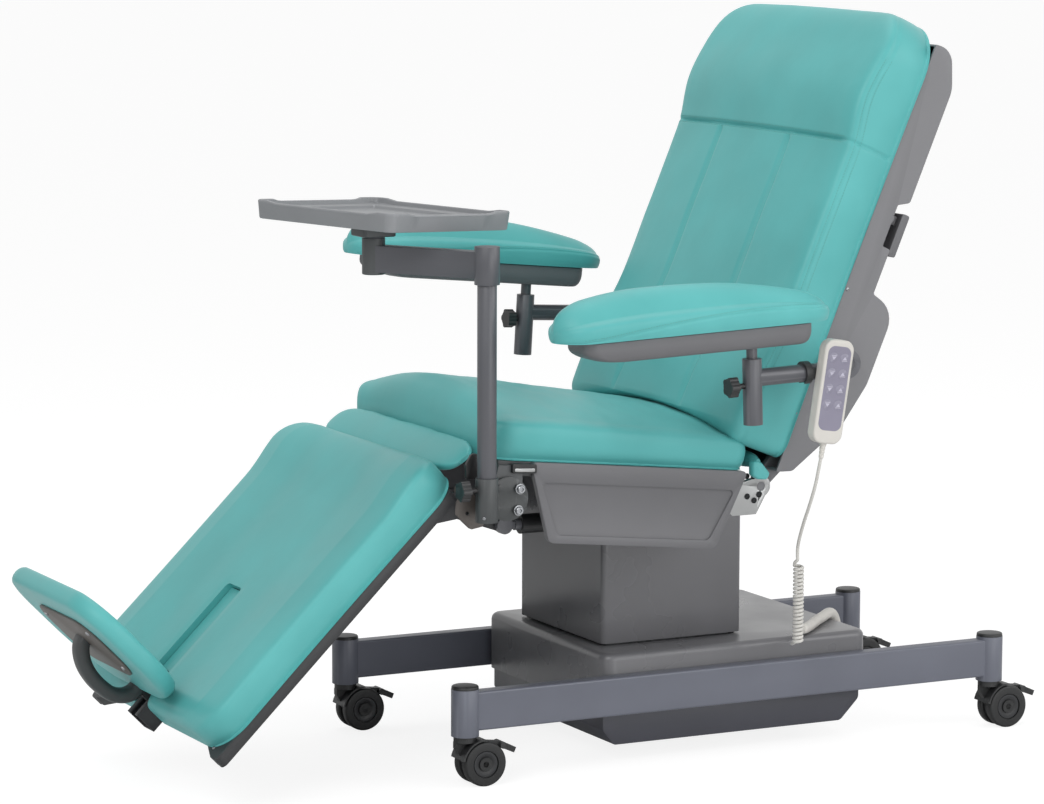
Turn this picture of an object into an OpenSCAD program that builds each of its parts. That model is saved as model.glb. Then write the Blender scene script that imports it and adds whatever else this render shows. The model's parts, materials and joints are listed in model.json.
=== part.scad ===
// Electric treatment recliner: a column lift on a castered base, a tilted seat with a hinged back and
// leg rest, two armrests on pivoting brackets, a swing tray and a corded handset.
// Millimetres, Z up. The chair faces -Y and +X is the sitter's left.

/* [Base] */
// Distance between the left and right posts
post_gap_x = 496; // [460:1:540]
// Distance between the front and rear posts
post_gap_y = 1069; // [1000:1:1140]
// Distance from the chair's reference point back to the middle of the wheelbase
base_y = 292.4; // [260:0.1:340]
// Post diameter
post_d = 48.3; // [40:0.1:56]
// Height of a post's lower end above the floor
post_low = 88; // [84:1:100]
// Length of a post
post_len = 82; // [74:1:96]
// Depth of a side rail
rail_h = 68; // [50:1:70]
// Width of a side rail
rail_w = 30; // [24:1:40]
// Wall of a side rail
rail_wall = 3; // [2:0.5:5]
// Length of the base cover
cover_len = 540; // [500:1:560]
// Height of the base cover's top above the floor
cover_top = 200; // [190:1:203]

/* [Casters] */
// Wheel diameter
wheel_d = 78; // [70:1:80]
// Width of one wheel
wheel_w = 17; // [12:1:20]
// Distance of the axle behind the stem
trail = 29; // [20:1:34]
// Stem radius
stem_r = 6; // [5:0.5:9]
// Axle radius
axle_r = 4; // [3:0.5:6]
// Running clearance on the radius of every turning fit
fit = 0.05; // [0.02:0.01:0.1]

/* [Lift column] */
// Width of the outer sleeve
sleeve_w = 322; // [300:1:340]
// Depth of the outer sleeve
sleeve_d = 282; // [260:1:300]
// Height of the sleeve's lower edge with the chair down
sleeve_low = 204; // [203:1:220]
// Height of the sleeve's top plate
sleeve_top = 470; // [460:1:474]
// Wall of the sleeve
sleeve_wall = 4; // [3:0.5:6]

/* [Seat] */
// Backward slope of the seat in degrees
seat_slope = 6; // [3:0.5:7]
// Height of the seat frame's upper face above its reference point
seat_z = 541; // [538:1:560]
// Half width of the seat cushion
seat_half = 300; // [280:1:306]
// Length of the seat cushion
seat_len = 507; // [470:1:512]
// Thickness of the seat cushion at its edges
seat_edge = 74; // [60:1:80]
// Rise of the seat cushion's crown
seat_crown = 32; // [20:1:38]
// Height of a side panel
panel_h = 138; // [120:1:150]

/* [Leg rest] */
// Slope of the leg rest below level in degrees
leg_slope = 44.3; // [42:0.1:46]
// Half width of the leg pad
leg_half = 298; // [280:1:302]
// Length of the leg pad
leg_len = 596; // [560:1:600]
// Thickness of the leg pad at its edges
leg_edge = 62; // [54:1:66]
// Rise of the leg pad's sides above its edges
leg_crown = 7; // [4:1:10]
// Half width of the footboard
foot_half = 207; // [190:1:216]
// Depth of the footboard, away from the leg pad
foot_d = 264; // [240:1:280]
// Thickness of the footboard
foot_t = 34; // [28:1:40]

/* [Back] */
// Recline of the back from upright in degrees
back_slope = 23.2; // [20:0.1:26]
// Half width of the back cushion
back_half = 318; // [300:1:322]
// Height of the back cushion's lower end along the back
back_low = 58; // [54:1:80]
// Length of the back cushion
back_len = 810; // [780:1:820]
// Thickness of the back cushion at its edges
back_edge = 101; // [90:1:108]
// Rise of the back cushion's crown
back_crown = 12; // [6:1:20]
// Half width of the back shell
shell_half = 306; // [296:1:310]
// Wall of the back shell
shell_wall = 4; // [3:0.5:6]

/* [Armrests] */
// Distance of an armrest's middle from the chair's middle
arm_x = 430; // [424:1:450]
// Length of an arm pad
arm_len = 522; // [490:1:530]
// Width of an arm pad
arm_w = 120; // [104:1:126]
// Thickness of an arm pad at its edges
arm_edge = 44; // [34:1:50]
// Radius of the clamp sleeve
clamp_r = 16.7; // [15:0.1:19]
// Radius of the post that carries an arm pad
arm_post_r = 9.5; // [8:0.5:11]
// Radius of the bracket tube
arm_tube_r = 15; // [12:0.5:17]
// Downward pitch of the left arm's front in degrees
left_pitch = 2; // [0:0.1:4]
// Upward pitch of the right arm's front in degrees
right_pitch = 3.2; // [0:0.1:5]

/* [Table] */
// Distance of the mast outside the seat frame
mast_out = 45; // [43:1:55]
// Mast radius
mast_r = 16.5; // [14:0.1:18]
// Height of the mast's cap above the floor
mast_top = 874; // [840:1:900]
// Length of the swing arm
swing_len = 224; // [200:1:260]
// Long side of the tray
tray_w = 366; // [340:1:380]
// Short side of the tray
tray_d = 277; // [250:1:300]
// Height of the tray's rim
tray_h = 33; // [26:1:36]

/* [Handset] */
// Length of the handset
pad_len = 180; // [160:1:190]
// Width of the handset
pad_w = 58; // [50:1:62]
// Thickness of the handset
pad_t = 25; // [20:1:28]
// Cord diameter
cord_d = 6; // [5.5:0.1:6]
// Turns in the curly part of the cord
curl_turns = 20; // [16:1:22]
// Outside diameter of the curly part
curl_d = 20; // [20:0.5:24]
// Rise of each turn
curl_pitch = 6.8; // [6.8:0.1:7.4]

/* [Hidden] */
$fn = 48;

// Shared values
cut = 1; // overrun of every cut
seam = 0.1; // gap between pieces that are welded or screwed together
air = 0.5; // gap between pieces that slide or turn past each other
soft = 0.4; // gap between a soft piece and what carries it
shaft_fn = 64; // sides of round things that fit each other
post_x = post_gap_x / 2;
post_y = post_gap_y / 2;
post_r = post_d / 2;

// Colours
steel_grey = [0.42, 0.43, 0.47];
panel_grey = [0.45, 0.45, 0.48];
dark_grey = [0.26, 0.27, 0.28];
black = [0.09, 0.09, 0.1];
vinyl = [0.38, 0.68, 0.66];
pale = [0.8, 0.79, 0.76];

// Moves what it holds from the middle of the wheelbase to the chair's reference point
module on_base() translate([0, base_y, 0]) children();

// A rectangle with round corners
module round_rect(w, d, r) {
    square([w - 2 * r, d], center = true);
    square([w, d - 2 * r], center = true);
    for (sx = [-1, 1], sy = [-1, 1]) translate([sx * (w / 2 - r), sy * (d / 2 - r)]) circle(r);
}

// A round bar from a to b
module bar(a, b, r) {
    v = b - a;
    run = norm(v);
    translate(a) rotate([0, acos(v[2] / run), atan2(v[1], v[0])]) cylinder(h = run, r = r, $fn = shaft_fn);
}

// Turns an outline drawn as [y, z] into a plate from x0 to x1
module plate_x(x0, x1) translate([x0, 0, 0]) rotate([90, 0, 90]) linear_extrude(x1 - x0) children();

// Points of a round corner at b, between the straight runs to a and c
function corner(a, b, c, r, n) =
    let (u = (a - b) / norm(a - b), v = (c - b) / norm(c - b),
         half = acos(u * v) / 2, reach = r / tan(half),
         m = b + (u + v) / norm(u + v) * r / sin(half),
         s = b + u * reach - m, e = b + v * reach - m,
         a0 = atan2(s[1], s[0]), turn = atan2(e[1], e[0]) - a0,
         sweep = turn > 180 ? turn - 360 : turn < -180 ? turn + 360 : turn)
    [for (i = [0:n]) m + r * [cos(a0 + sweep * i / n), sin(a0 + sweep * i / n)]];

// An outline with each corner rounded to its own radius; zero keeps it sharp
function rounded(pts, radii, n = 6) =
    [for (i = [0:len(pts) - 1])
        let (k = len(pts), a = pts[(i + k - 1) % k], b = pts[i], c = pts[(i + 1) % k])
        each (radii[i] == 0 ? [b] : corner(a, b, c, radii[i], n))];

// Triangles of a closed skin over rings of points, with a middle point at each end
function skin_faces(rings, n) = concat(
    [for (i = [0:rings - 2], k = [0:n - 1]) [i * n + k, (i + 1) * n + k, i * n + (k + 1) % n]],
    [for (i = [0:rings - 2], k = [0:n - 1])
        [i * n + (k + 1) % n, (i + 1) * n + k, (i + 1) * n + (k + 1) % n]],
    [for (k = [0:n - 1]) [rings * n, k, (k + 1) % n]],
    [for (k = [0:n - 1]) [rings * n + 1, (rings - 1) * n + (k + 1) % n, (rings - 1) * n + k]]);
function mean(pts) = pts * [for (p = pts) 1] / len(pts);
function middle(ring) = [for (axis = [0:2]) mean([for (p = ring) p[axis]])];
module skin(rings) {
    n = len(rings[0]);
    points = concat([for (r = rings) each r], [middle(rings[0]), middle(rings[len(rings) - 1])]);
    polyhedron(points, skin_faces(len(rings), n));
}

// Unit vector, and a vector made square to a direction
function unit(v) = v / norm(v);
function square_to(v, t) = unit(v - (v * t) * t);

// Rings of a tube along a path, carried along without twist
function tangents(path) = let (k = len(path) - 1)
    [for (i = [0:k]) unit(path[min(i + 1, k)] - path[max(i - 1, 0)])];
function tube_rings(path, r, sides, start) =
    let (t = tangents(path), k = len(path),
         side = [for (i = 0, s = square_to(start, t[0]); i < k;
                      i = i + 1, s = i < k ? square_to(s, t[i]) : s) s])
    [for (i = [0:k - 1]) let (a = side[i], b = cross(t[i], a))
        [for (j = [0:sides - 1]) path[i] + r * (cos(360 * j / sides) * a - sin(360 * j / sides) * b)]];

// A smooth curve through chosen points, with a number of steps to each stretch
function knot(p, i) = i < 0 ? 2 * p[0] - p[1] : i >= len(p) ? 2 * p[len(p) - 1] - p[len(p) - 2] : p[i];
function curve(p, steps) = concat(
    [for (i = [0:len(p) - 2], j = [0:steps - 1])
        let (f = j / steps, a = knot(p, i - 1), b = p[i], c = p[i + 1], d = knot(p, i + 2))
        0.5 * (2 * b + f * (c - a) + f * f * (2 * a - 5 * b + 4 * c - d)
            + f * f * f * (3 * b - a - 3 * c + d))],
    [p[len(p) - 1]]);

// A smooth bump along a cushion
function bump(y, at, reach, rise) = abs(y - at) > reach ? 0 : rise * (1 + cos(180 * (y - at) / reach)) / 2;

// Cushion sections run across X at stations along the length. Each section has side points, then top
// points from right to left at the shares given, then a flat base.
side_up_shares = [0.06, 0.35, 0.72, 0.94];
side_out_shares = [0.55, 0.9, 1, 0.7];
plain_shares = [0.95, 0.82, 0.55, 0.25, 0, -0.25, -0.55, -0.82, -0.95];
base_shares = [-0.6, 0, 0.6];
end_turns = [84, 68, 50, 30, 12];
// Stations of a cushion: place along its length and the turn of its rounded end, in degrees
function stations(len, r, mids) = concat(
    [for (a = end_turns) [-len / 2 + r - r * sin(a), a]],
    [for (i = [0:mids]) [-len / 2 + r + (len - 2 * r) * i / mids, 0]],
    [for (i = [len(end_turns) - 1:-1:0]) [len / 2 - r + r * sin(end_turns[i]), end_turns[i]]]);
// One section: half width, edge height, how far the sides stand proud, top heights at shares
function section(half, edge, roll, shares, tops) = concat(
    [for (i = [0:len(side_up_shares) - 1])
        [half - roll + roll * side_out_shares[i], edge * side_up_shares[i]]],
    [for (i = [0:len(shares) - 1]) [(half - roll) * shares[i], tops[i]]],
    [for (i = [len(side_up_shares) - 1:-1:0])
        [-half + roll - roll * side_out_shares[i], edge * side_up_shares[i]]],
    [for (s = base_shares) [(half - roll) * s, 0]]);

// Casters
thrust_gap = 0.5; // between a fork's top and its post
stem_depth = 34; // depth of the post's bore
stem_len = 30; // length of stem inside the post
wheel_gap = 14; // between the two wheels of a caster
fork_w = 12; // thickness of the fork's body between the wheels
fork_r = 33; // radius of the fork's body round the axle
fork_top_r = 20; // radius of the turning plate
fork_top_t = 10; // thickness of the turning plate
hood_gap = 2.5; // between a wheel and its hood
hood_t = 3;
hood_w = 50;
axle_z = wheel_d / 2;
axle_len = 2 * wheel_w + wheel_gap;
pedal_w = 30;
pedal_len = 24;
pedal_t = 10;
pedal_pin_r = 2.5; // radius of a pedal's pin
pedal_y = 38; // pin behind the axle
pedal_z = 28; // pin above the axle
pedal_fall = 24; // slope of a pedal at rest, in degrees
pedal_hub_r = 6; // radius of a pedal's hub and of the lug that holds it
tread_r = 4; // rounding of the tread
hub_r = 24;
hub_dish = 3; // depth of the hub's dish
caster_spots = [[1, -1], [-1, -1], [1, 1], [-1, 1]];
module at_caster(i) translate([caster_spots[i][0] * post_x, caster_spots[i][1] * post_y, 0]) children();
module on_axle() translate([0, trail, axle_z]) rotate([0, 90, 0]) children();
module at_pedal() translate([0, trail + pedal_y, axle_z + pedal_z]) children();
module caster_fork(i) color(black) on_base() at_caster(i) difference() {
    union() {
        top = post_low - thrust_gap;
        translate([0, 0, top - fork_top_t]) cylinder(h = fork_top_t, r = fork_top_r);
        translate([0, 0, top - fork_top_t]) cylinder(h = fork_top_t + thrust_gap + stem_len, r = stem_r);
        on_axle() cylinder(h = fork_w, r = fork_r, center = true);
        plate_x(-fork_w / 2, fork_w / 2)
            polygon([[-fork_top_r, top - fork_top_t + cut], [-fork_top_r, top - 2 * fork_top_t],
                [trail - fork_r, axle_z], [trail, axle_z],
                    [trail + pedal_y, axle_z + pedal_z - pedal_hub_r],
                [trail + pedal_y, axle_z + pedal_z + pedal_hub_r], [fork_top_r, top - fork_top_t + cut]]);
        at_pedal() rotate([0, 90, 0]) cylinder(h = fork_w, r = pedal_hub_r, center = true);
        intersection() {
            on_axle() difference() {
                cylinder(h = hood_w, r = axle_z + hood_gap + hood_t, center = true);
                cylinder(h = hood_w + cut, r = axle_z + hood_gap, center = true);
            }
            plate_x(-hood_w, hood_w)
                polygon([[trail, axle_z], [trail - 2 * axle_z, axle_z + fork_r / 2],
                    [trail - 2 * axle_z, top - fork_top_t / 2], [trail, top - fork_top_t / 2]]);
        }
    }
    on_axle() cylinder(h = fork_w + cut, r = axle_r + fit, center = true, $fn = shaft_fn);
    at_pedal() rotate([0, 90, 0]) cylinder(h = fork_w + cut, r = pedal_pin_r + fit, center = true,
        $fn = shaft_fn);
}
module caster_wheels(i) color(dark_grey) on_base() at_caster(i) on_axle() {
    cylinder(h = axle_len, r = axle_r, center = true, $fn = shaft_fn);
    for (s = [-1, 1]) mirror([0, 0, s < 0 ? 1 : 0]) translate([0, 0, wheel_gap / 2])
        rotate_extrude() difference() {
            polygon(concat([[axle_r - fit, 0], [axle_r - fit, wheel_w]],
                corner([hub_r, wheel_w], [axle_z, wheel_w], [axle_z, 0], tread_r, 4),
                corner([axle_z, wheel_w], [axle_z, 0], [hub_r, 0], tread_r, 4)));
            translate([hub_r / 2, wheel_w - hub_dish]) square([hub_r / 2, hub_dish + cut]);
        }
}
module caster_brake(i) color(black) on_base() at_caster(i) at_pedal() {
    rotate([0, 90, 0]) cylinder(h = pedal_w, r = pedal_pin_r, center = true, $fn = shaft_fn);
    difference() {
        union() {
            rotate([0, 90, 0]) cylinder(h = pedal_w, r = pedal_hub_r, center = true);
            rotate([-pedal_fall, 0, 0]) translate([-pedal_w / 2, 0, -pedal_t / 2])
                cube([pedal_w, pedal_len, pedal_t]);
        }
        rotate([0, 90, 0]) cylinder(h = fork_w + 2 * air, r = pedal_hub_r + air, center = true);
        rotate([0, 90, 0]) cylinder(h = pedal_w + cut, r = pedal_pin_r - seam, center = true,
            $fn = shaft_fn);
    }
}

// Base
rail_r = 4; // outer corner radius of a rail
rail_low = 97; // height of a rail's lower face
rail_z = rail_low + rail_h / 2;
module side_frame(side) color(steel_grey) on_base() difference() {
    union() {
        translate([side * post_x, 0, rail_z]) rotate([90, 0, 0])
            linear_extrude(post_gap_y, center = true) difference() {
                round_rect(rail_w, rail_h, rail_r);
                round_rect(rail_w - 2 * rail_wall, rail_h - 2 * rail_wall, rail_r - rail_wall);
            }
        for (end = [-1, 1]) translate([side * post_x, end * post_y, post_low])
            cylinder(h = post_len, r = post_r);
    }
    for (end = [-1, 1]) translate([side * post_x, end * post_y, post_low - cut])
        cylinder(h = stem_depth + cut, r = stem_r + fit, $fn = shaft_fn);
}
cap_h = 6;
cap_in = 0.6; // how far a cap stays inside its post's edge
module post_caps() color(black) on_base() for (sx = [-1, 1], sy = [-1, 1])
    translate([sx * post_x, sy * post_y, post_low + post_len + seam]) rotate_extrude()
        polygon(concat([[0, 0], [post_r - cap_in, 0]],
            corner([post_r - cap_in, 0], [post_r - cap_in, cap_h], [0, cap_h], cap_h / 2, 4),
                [[0, cap_h]]));

plate_t = 10; // thickness of the base plate
plate_y0 = -230; // front edge of the base plate
plate_y1 = 270; // rear edge of the base plate
inner_x = post_x - rail_w / 2;
module base_plate() color(dark_grey) on_base()
    translate([-inner_x + seam, plate_y0, rail_low])
        cube([2 * (inner_x - seam), plate_y1 - plate_y0, plate_t]);

cover_y0 = -255; // front edge of the cover
cover_wall = 4; // wall of the cover
cover_r = 26; // plan radius of the cover's corners
cover_edge_r = 12; // rounding of the cover's top edge
cover_gap = 1; // between the cover and the rails
column_gap = 8; // between the cover's hole and the inner column
cover_half = inner_x - cover_gap;
cover_y = cover_y0 + cover_len / 2;
cover_low = rail_low + seam;
module cover_body(half_w, len, top, r, edge) hull() {
    for (sx = [-1, 1], sy = [-1, 1]) translate([sx * (half_w - r), cover_y + sy * (len / 2 - r), 0]) {
        translate([0, 0, cover_low]) cylinder(h = top - edge - cover_low, r = r, $fn = 32);
        translate([0, 0, top - edge]) rotate_extrude($fn = 32) translate([r - edge, 0])
            circle(edge, $fn = 20);
    }
}
module base_cover() color(panel_grey) on_base() difference() {
    cover_body(cover_half, cover_len, cover_top, cover_r, cover_edge_r);
    translate([0, 0, -cover_wall])
        cover_body(cover_half - cover_wall, cover_len - 2 * cover_wall, cover_top, cover_r, cover_edge_r);
    translate([-inner_x, plate_y0 - seam, 0]) cube([2 * inner_x, plate_y1 - plate_y0 + 2 * seam, floor_z]);
    translate([0, column_y, cover_low + cut])
        linear_extrude(cover_top) round_rect(inner_w + 2 * column_gap, inner_d + 2 * column_gap, inner_r);
}
tub_half = 214; // half width of the belly tub
tub_low = 34; // height of the tub's floor
tub_front = -248; // front edge of the tub
tub_chin = 62; // height where the tub's front starts to slope
tub_chin_in = 22; // how far the tub's front slopes in
tub_rear = 276; // rear edge of the tub
tub_tail = 38; // size of the slope at the tub's lower rear edge
tub_wall = 3; // wall of the tub
tub_r = 14; // rounding of the tub's lower edges
tub_top = rail_low - seam;
function tub_outline(d) = rounded([[tub_front + d, tub_top + (d > 0 ? cut : 0)],
    [tub_front + d, tub_chin + d / 2], [tub_front + tub_chin_in + d, tub_low + d],
        [tub_rear - tub_tail - d, tub_low + d],
    [tub_rear - d, tub_low + tub_tail], [tub_rear - d, tub_top + (d > 0 ? cut : 0)]],
    [0, tub_r / 2, tub_r / 2, tub_r, tub_r, 0]);
module base_tub() color(dark_grey) on_base() difference() {
    plate_x(-tub_half, tub_half) polygon(tub_outline(0));
    plate_x(-tub_half + tub_wall, tub_half - tub_wall) polygon(tub_outline(tub_wall));
}

// Lift column: the inner column stands on the base plate and holds the drive
column_y = -81; // middle of the column, from the middle of the wheelbase
inner_w = 292; // width of the inner column
inner_d = 252; // depth of the inner column
inner_r = 8; // corner radius of the inner column
inner_wall = 4; // wall of the inner column
inner_top = 425; // height of the inner column's top
sleeve_r = 10; // corner radius of the sleeve
top_plate = 6; // thickness of the sleeve's top plate
drive_r = 24; // radius of the drive's outer tube
drive_rod_r = 14; // radius of the drive's rod
drive_top = 400; // height of the drive's outer tube
drive_box = 90; // width of the drive's motor box
drive_box_h = 66; // height of the drive's motor box
drive_low = 190; // lower end of the rod with the chair down
floor_z = rail_low + plate_t + seam;
module lift_column() color(dark_grey) on_base() translate([0, column_y, 0]) {
    translate([0, 0, floor_z]) linear_extrude(inner_top - floor_z) difference() {
        round_rect(inner_w, inner_d, inner_r);
        round_rect(inner_w - 2 * inner_wall, inner_d - 2 * inner_wall, inner_r - inner_wall);
    }
    difference() {
        union() {
            translate([-drive_box / 2, -drive_box / 2, floor_z]) cube([drive_box, drive_box, drive_box_h]);
            translate([0, 0, floor_z + drive_box_h])
                cylinder(h = drive_top - floor_z - drive_box_h, r = drive_r);
        }
        translate([0, 0, drive_low - air]) cylinder(h = drive_top, r = drive_rod_r + fit, $fn = shaft_fn);
    }
}
module column_sleeve() color(panel_grey) on_base() translate([0, column_y, 0]) {
    difference() {
        translate([0, 0, sleeve_low]) linear_extrude(sleeve_top - sleeve_low)
            round_rect(sleeve_w, sleeve_d, sleeve_r);
        translate([0, 0, sleeve_low - cut]) linear_extrude(sleeve_top - sleeve_low - top_plate + cut)
            round_rect(sleeve_w - 2 * sleeve_wall, sleeve_d - 2 * sleeve_wall, sleeve_r - sleeve_wall);
    }
    translate([0, 0, drive_low]) cylinder(h = sleeve_top - drive_low - top_plate / 2, r = drive_rod_r,
        $fn = shaft_fn);
}

// Seat: drawn level about its reference point, then tilted
seat_y = -229; // reference point of the seat, from the middle of the wheelbase
shell_over = 21; // how far the back shell stands outside the seat frame
frame_half = shell_half - shell_over;
frame_front = -262; // front end of the seat frame
frame_rear = 212; // rear end of the seat frame
tube_w = 30; // width of a seat frame tube
tube_h = 25; // height of a seat frame tube
pan_t = 6; // thickness of the seat pan
module on_seat() on_base() translate([0, seat_y, seat_z]) rotate([-seat_slope, 0, 0]) children();
function pan_under(y) = seat_z - (pan_t + soft) / cos(seat_slope) - (y - seat_y) * tan(seat_slope);
function tube_under(y) = pan_under(y) - (tube_h - pan_t) / cos(seat_slope);
mount_x = 100; // middle of each mounting block on the column
mount_w = 60; // width of each mounting block
mount_y0 = -200; // front of the mounting blocks
mount_y1 = 40; // rear of the mounting blocks
module seat_frame() color(dark_grey) {
    on_seat() {
        for (s = [-1, 1]) translate([s * (frame_half - tube_w / 2) - tube_w / 2, frame_front,
            -tube_h - soft])
            cube([tube_w, frame_rear - frame_front, tube_h]);
        translate([-frame_half + tube_w / 2, frame_front, -pan_t - soft])
            cube([2 * frame_half - tube_w, frame_rear - frame_front, pan_t]);
        for (y = [frame_front, frame_rear - tube_w])
            translate([-frame_half + tube_w / 2, y, -tube_h - soft])
            cube([2 * frame_half - tube_w, tube_w, tube_h]);
    }
    on_base() for (s = [-1, 1]) plate_x(s * mount_x - mount_w / 2, s * mount_x + mount_w / 2)
        polygon([[mount_y0, sleeve_top + seam], [mount_y1, sleeve_top + seam],
            [mount_y1, pan_under(mount_y1) + pan_t / 2], [mount_y0, pan_under(mount_y0) + pan_t / 2]]);
}
panel_t = 12; // thickness of a side panel
panel_top_front = -205; // front of a panel's top edge
panel_top_rear = 223; // rear of a panel's top edge
panel_low_front = -156; // front of a panel's lower edge
panel_low_rear = 172; // rear of a panel's lower edge
panel_r = 14; // rounding of a panel's lower corners
dish_t = 4; // depth of a panel's dish
dish_in = 14; // border of the dish at the sides and below
dish_top = 34; // border of the dish above
function panel_outline(side_in, top_in) = rounded([
    [panel_top_front + side_in * 1.6, -top_in], [panel_low_front + side_in, -panel_h + side_in],
    [panel_low_rear - side_in, -panel_h + side_in], [panel_top_rear - side_in * 1.6, -top_in]],
    [panel_r / 2, panel_r, panel_r, panel_r / 2]);
module side_panel(side) color(panel_grey) on_seat() mirror([side < 0 ? 1 : 0, 0, 0]) difference() {
    plate_x(frame_half + seam, frame_half + panel_t) polygon(panel_outline(0, seam));
    plate_x(frame_half + panel_t - dish_t, frame_half + panel_t + cut)
        polygon(panel_outline(dish_in, dish_top));
    plate_x(frame_half, frame_half + dish_t) polygon(panel_outline(dish_in, dish_top));
}

seat_front = -281; // front end of the seat cushion
seat_end_r = 54; // rounding of the seat cushion's ends
seat_roll = 30; // rounding of the seat cushion's sides
seat_mids = 6; // stations between the rounded ends
seat_draw = 5; // how far the sides pull in between the corners
seat_lift = 14; // how much higher the seat's front is than its rear
seat_mid = seat_front + seat_len / 2;
end_keep = 0.42; // share of the edge height left at a cushion's very end
function end_height(a) = end_keep + (1 - end_keep) * sqrt(cos(a));
function seat_ring(s) =
    let (along = 2 * s[0] / seat_len, a = s[1],
         half = seat_half - seat_end_r * (1 - cos(a)) - seat_draw * (1 - along * along),
         edge = seat_edge * end_height(a) - seat_lift * (1 + along) / 2,
         crown = seat_crown * sqrt(cos(a)) * (1 - 0.3 * along))
    [for (p = section(half, edge, seat_roll, plain_shares,
        [for (c = plain_shares) edge + crown * (1 - c * c)])) [p[0], seat_mid + s[0], p[1]]];
module seat_cushion() color(vinyl) on_seat()
    skin([for (s = stations(seat_len, seat_end_r, seat_mids)) seat_ring(s)]);

// Leg hinge and leg rest: drawn with +U down the leg rest along -Y, then turned down to its slope
leg_y = -478; // leg hinge, from the middle of the wheelbase
leg_z = 502.6; // height of the leg hinge
pin_r = 8;
ear_t = 8; // thickness of a hinge ear
ear_r = 30; // radius of the front ear round its pin
bolt_r = 6;
bolt_h = 5;
module on_leg() on_base() translate([0, leg_y, leg_z]) rotate([leg_slope, 0, 0]) mirror([0, 1, 0])
    children();
module front_hinge(side) color(dark_grey) on_base() mirror([side < 0 ? 1 : 0, 0, 0]) {
    difference() {
        plate_x(frame_half + seam, frame_half + ear_t) {
            translate([leg_y, leg_z]) circle(ear_r);
            polygon([[leg_y - ear_r, leg_z], [leg_y + ear_r, leg_z],
                [leg_y + ear_r, pan_under(leg_y + ear_r)], [leg_y - ear_r / 2, pan_under(leg_y)]]);
        }
        plate_x(frame_half - cut, frame_half + ear_t + cut) translate([leg_y, leg_z])
            circle(pin_r + fit, $fn = shaft_fn);
    }
}
arm_plate_t = 9; // thickness of a leg arm
arm_plate_r = 22; // radius of a leg arm round its pin
leg_low = 66; // leg frame's underside above the hinge
leg_t = 20; // thickness of the leg frame
leg_frame_half = frame_half + 4; // half width of the leg frame
leg_plate_end = 634; // lower end of the leg frame's plate
leg_frame_end = 664; // lower end of its side rails
leg_rail_w = 24; // width of its side rails
leg_frame_start = 58; // upper end of the leg frame
leg_frame_r = 12; // corner radius of the leg frame
rail_half = 22; // half width of the foot rail
rail_top = 44; // height of the foot rail
rail_slot = 11; // half width of the foot rail's slot
rail_start = 372; // upper end of the foot rail
rail_end = 669; // lower end of the foot rail
lever_x = 200; // inner face of the lever that the rod pushes
lever_y = 38; // lever's eye behind the hinge
lever_z = -62; // lever's eye below the hinge
lever_t = 8; // thickness of the lever
lever_r = 14; // radius of the lever's eye
leg_top = leg_low + leg_t;
// A place on the leg rest, from the hinge: [y, z] of u down its slope and n above it
function leg_at(u, n) =
    [-u * cos(leg_slope) - n * sin(leg_slope), n * cos(leg_slope) - u * sin(leg_slope)];
module leg_frame() color(dark_grey) {
    on_leg() {
        translate([0, (leg_frame_start + leg_plate_end) / 2, leg_low])
            linear_extrude(leg_t) round_rect(2 * leg_frame_half, leg_plate_end - leg_frame_start,
                leg_frame_r);
        for (s = [-1, 1]) translate([s * (leg_frame_half - leg_rail_w / 2),
            (leg_frame_start + leg_frame_end) / 2, leg_low])
            linear_extrude(leg_t) round_rect(leg_rail_w, leg_frame_end - leg_frame_start,
                leg_frame_r - cut);
        difference() {
            translate([-rail_half, rail_start, leg_top - seam])
                cube([2 * rail_half, rail_end - rail_start, rail_top]);
            translate([-rail_half + rail_wall, rail_start - cut, leg_top + rail_wall])
                cube([2 * (rail_half - rail_wall), rail_end - rail_start + 2 * cut,
                    rail_top - 2 * rail_wall - seam]);
            translate([-rail_slot, rail_start - cut, leg_top + rail_wall])
                cube([2 * rail_slot, rail_end - rail_start + 2 * cut, rail_top]);
        }
        for (s = [-1, 1]) mirror([s < 0 ? 1 : 0, 0, 0]) {
            plate_x(frame_half - air - arm_plate_t, frame_half - air) {
                circle(arm_plate_r);
                polygon([[-arm_plate_r * 0.4, arm_plate_r * 0.8], [arm_plate_r, -arm_plate_r * 0.3],
                    [leg_frame_start + 2 * ear_r, leg_low], [leg_frame_start + 2 * ear_r, leg_top],
                    [leg_frame_start + arm_plate_t, leg_top]]);
            }
            plate_x(frame_half - air - arm_plate_t, frame_half + ear_t - air) circle(pin_r, $fn = shaft_fn);
        }
    }
    on_base() translate([0, leg_y, leg_z]) plate_x(lever_x - lever_t, lever_x) {
        translate([lever_y, lever_z]) circle(lever_r);
        polygon([[lever_y + lever_r / 2, lever_z + lever_r * 0.8], leg_at(leg_frame_start + cut, leg_low + cut),
            leg_at(leg_frame_start + 3 * lever_r, leg_low + cut), [lever_y - lever_r / 2, lever_z - lever_r * 0.8]]);
    }
}

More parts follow.
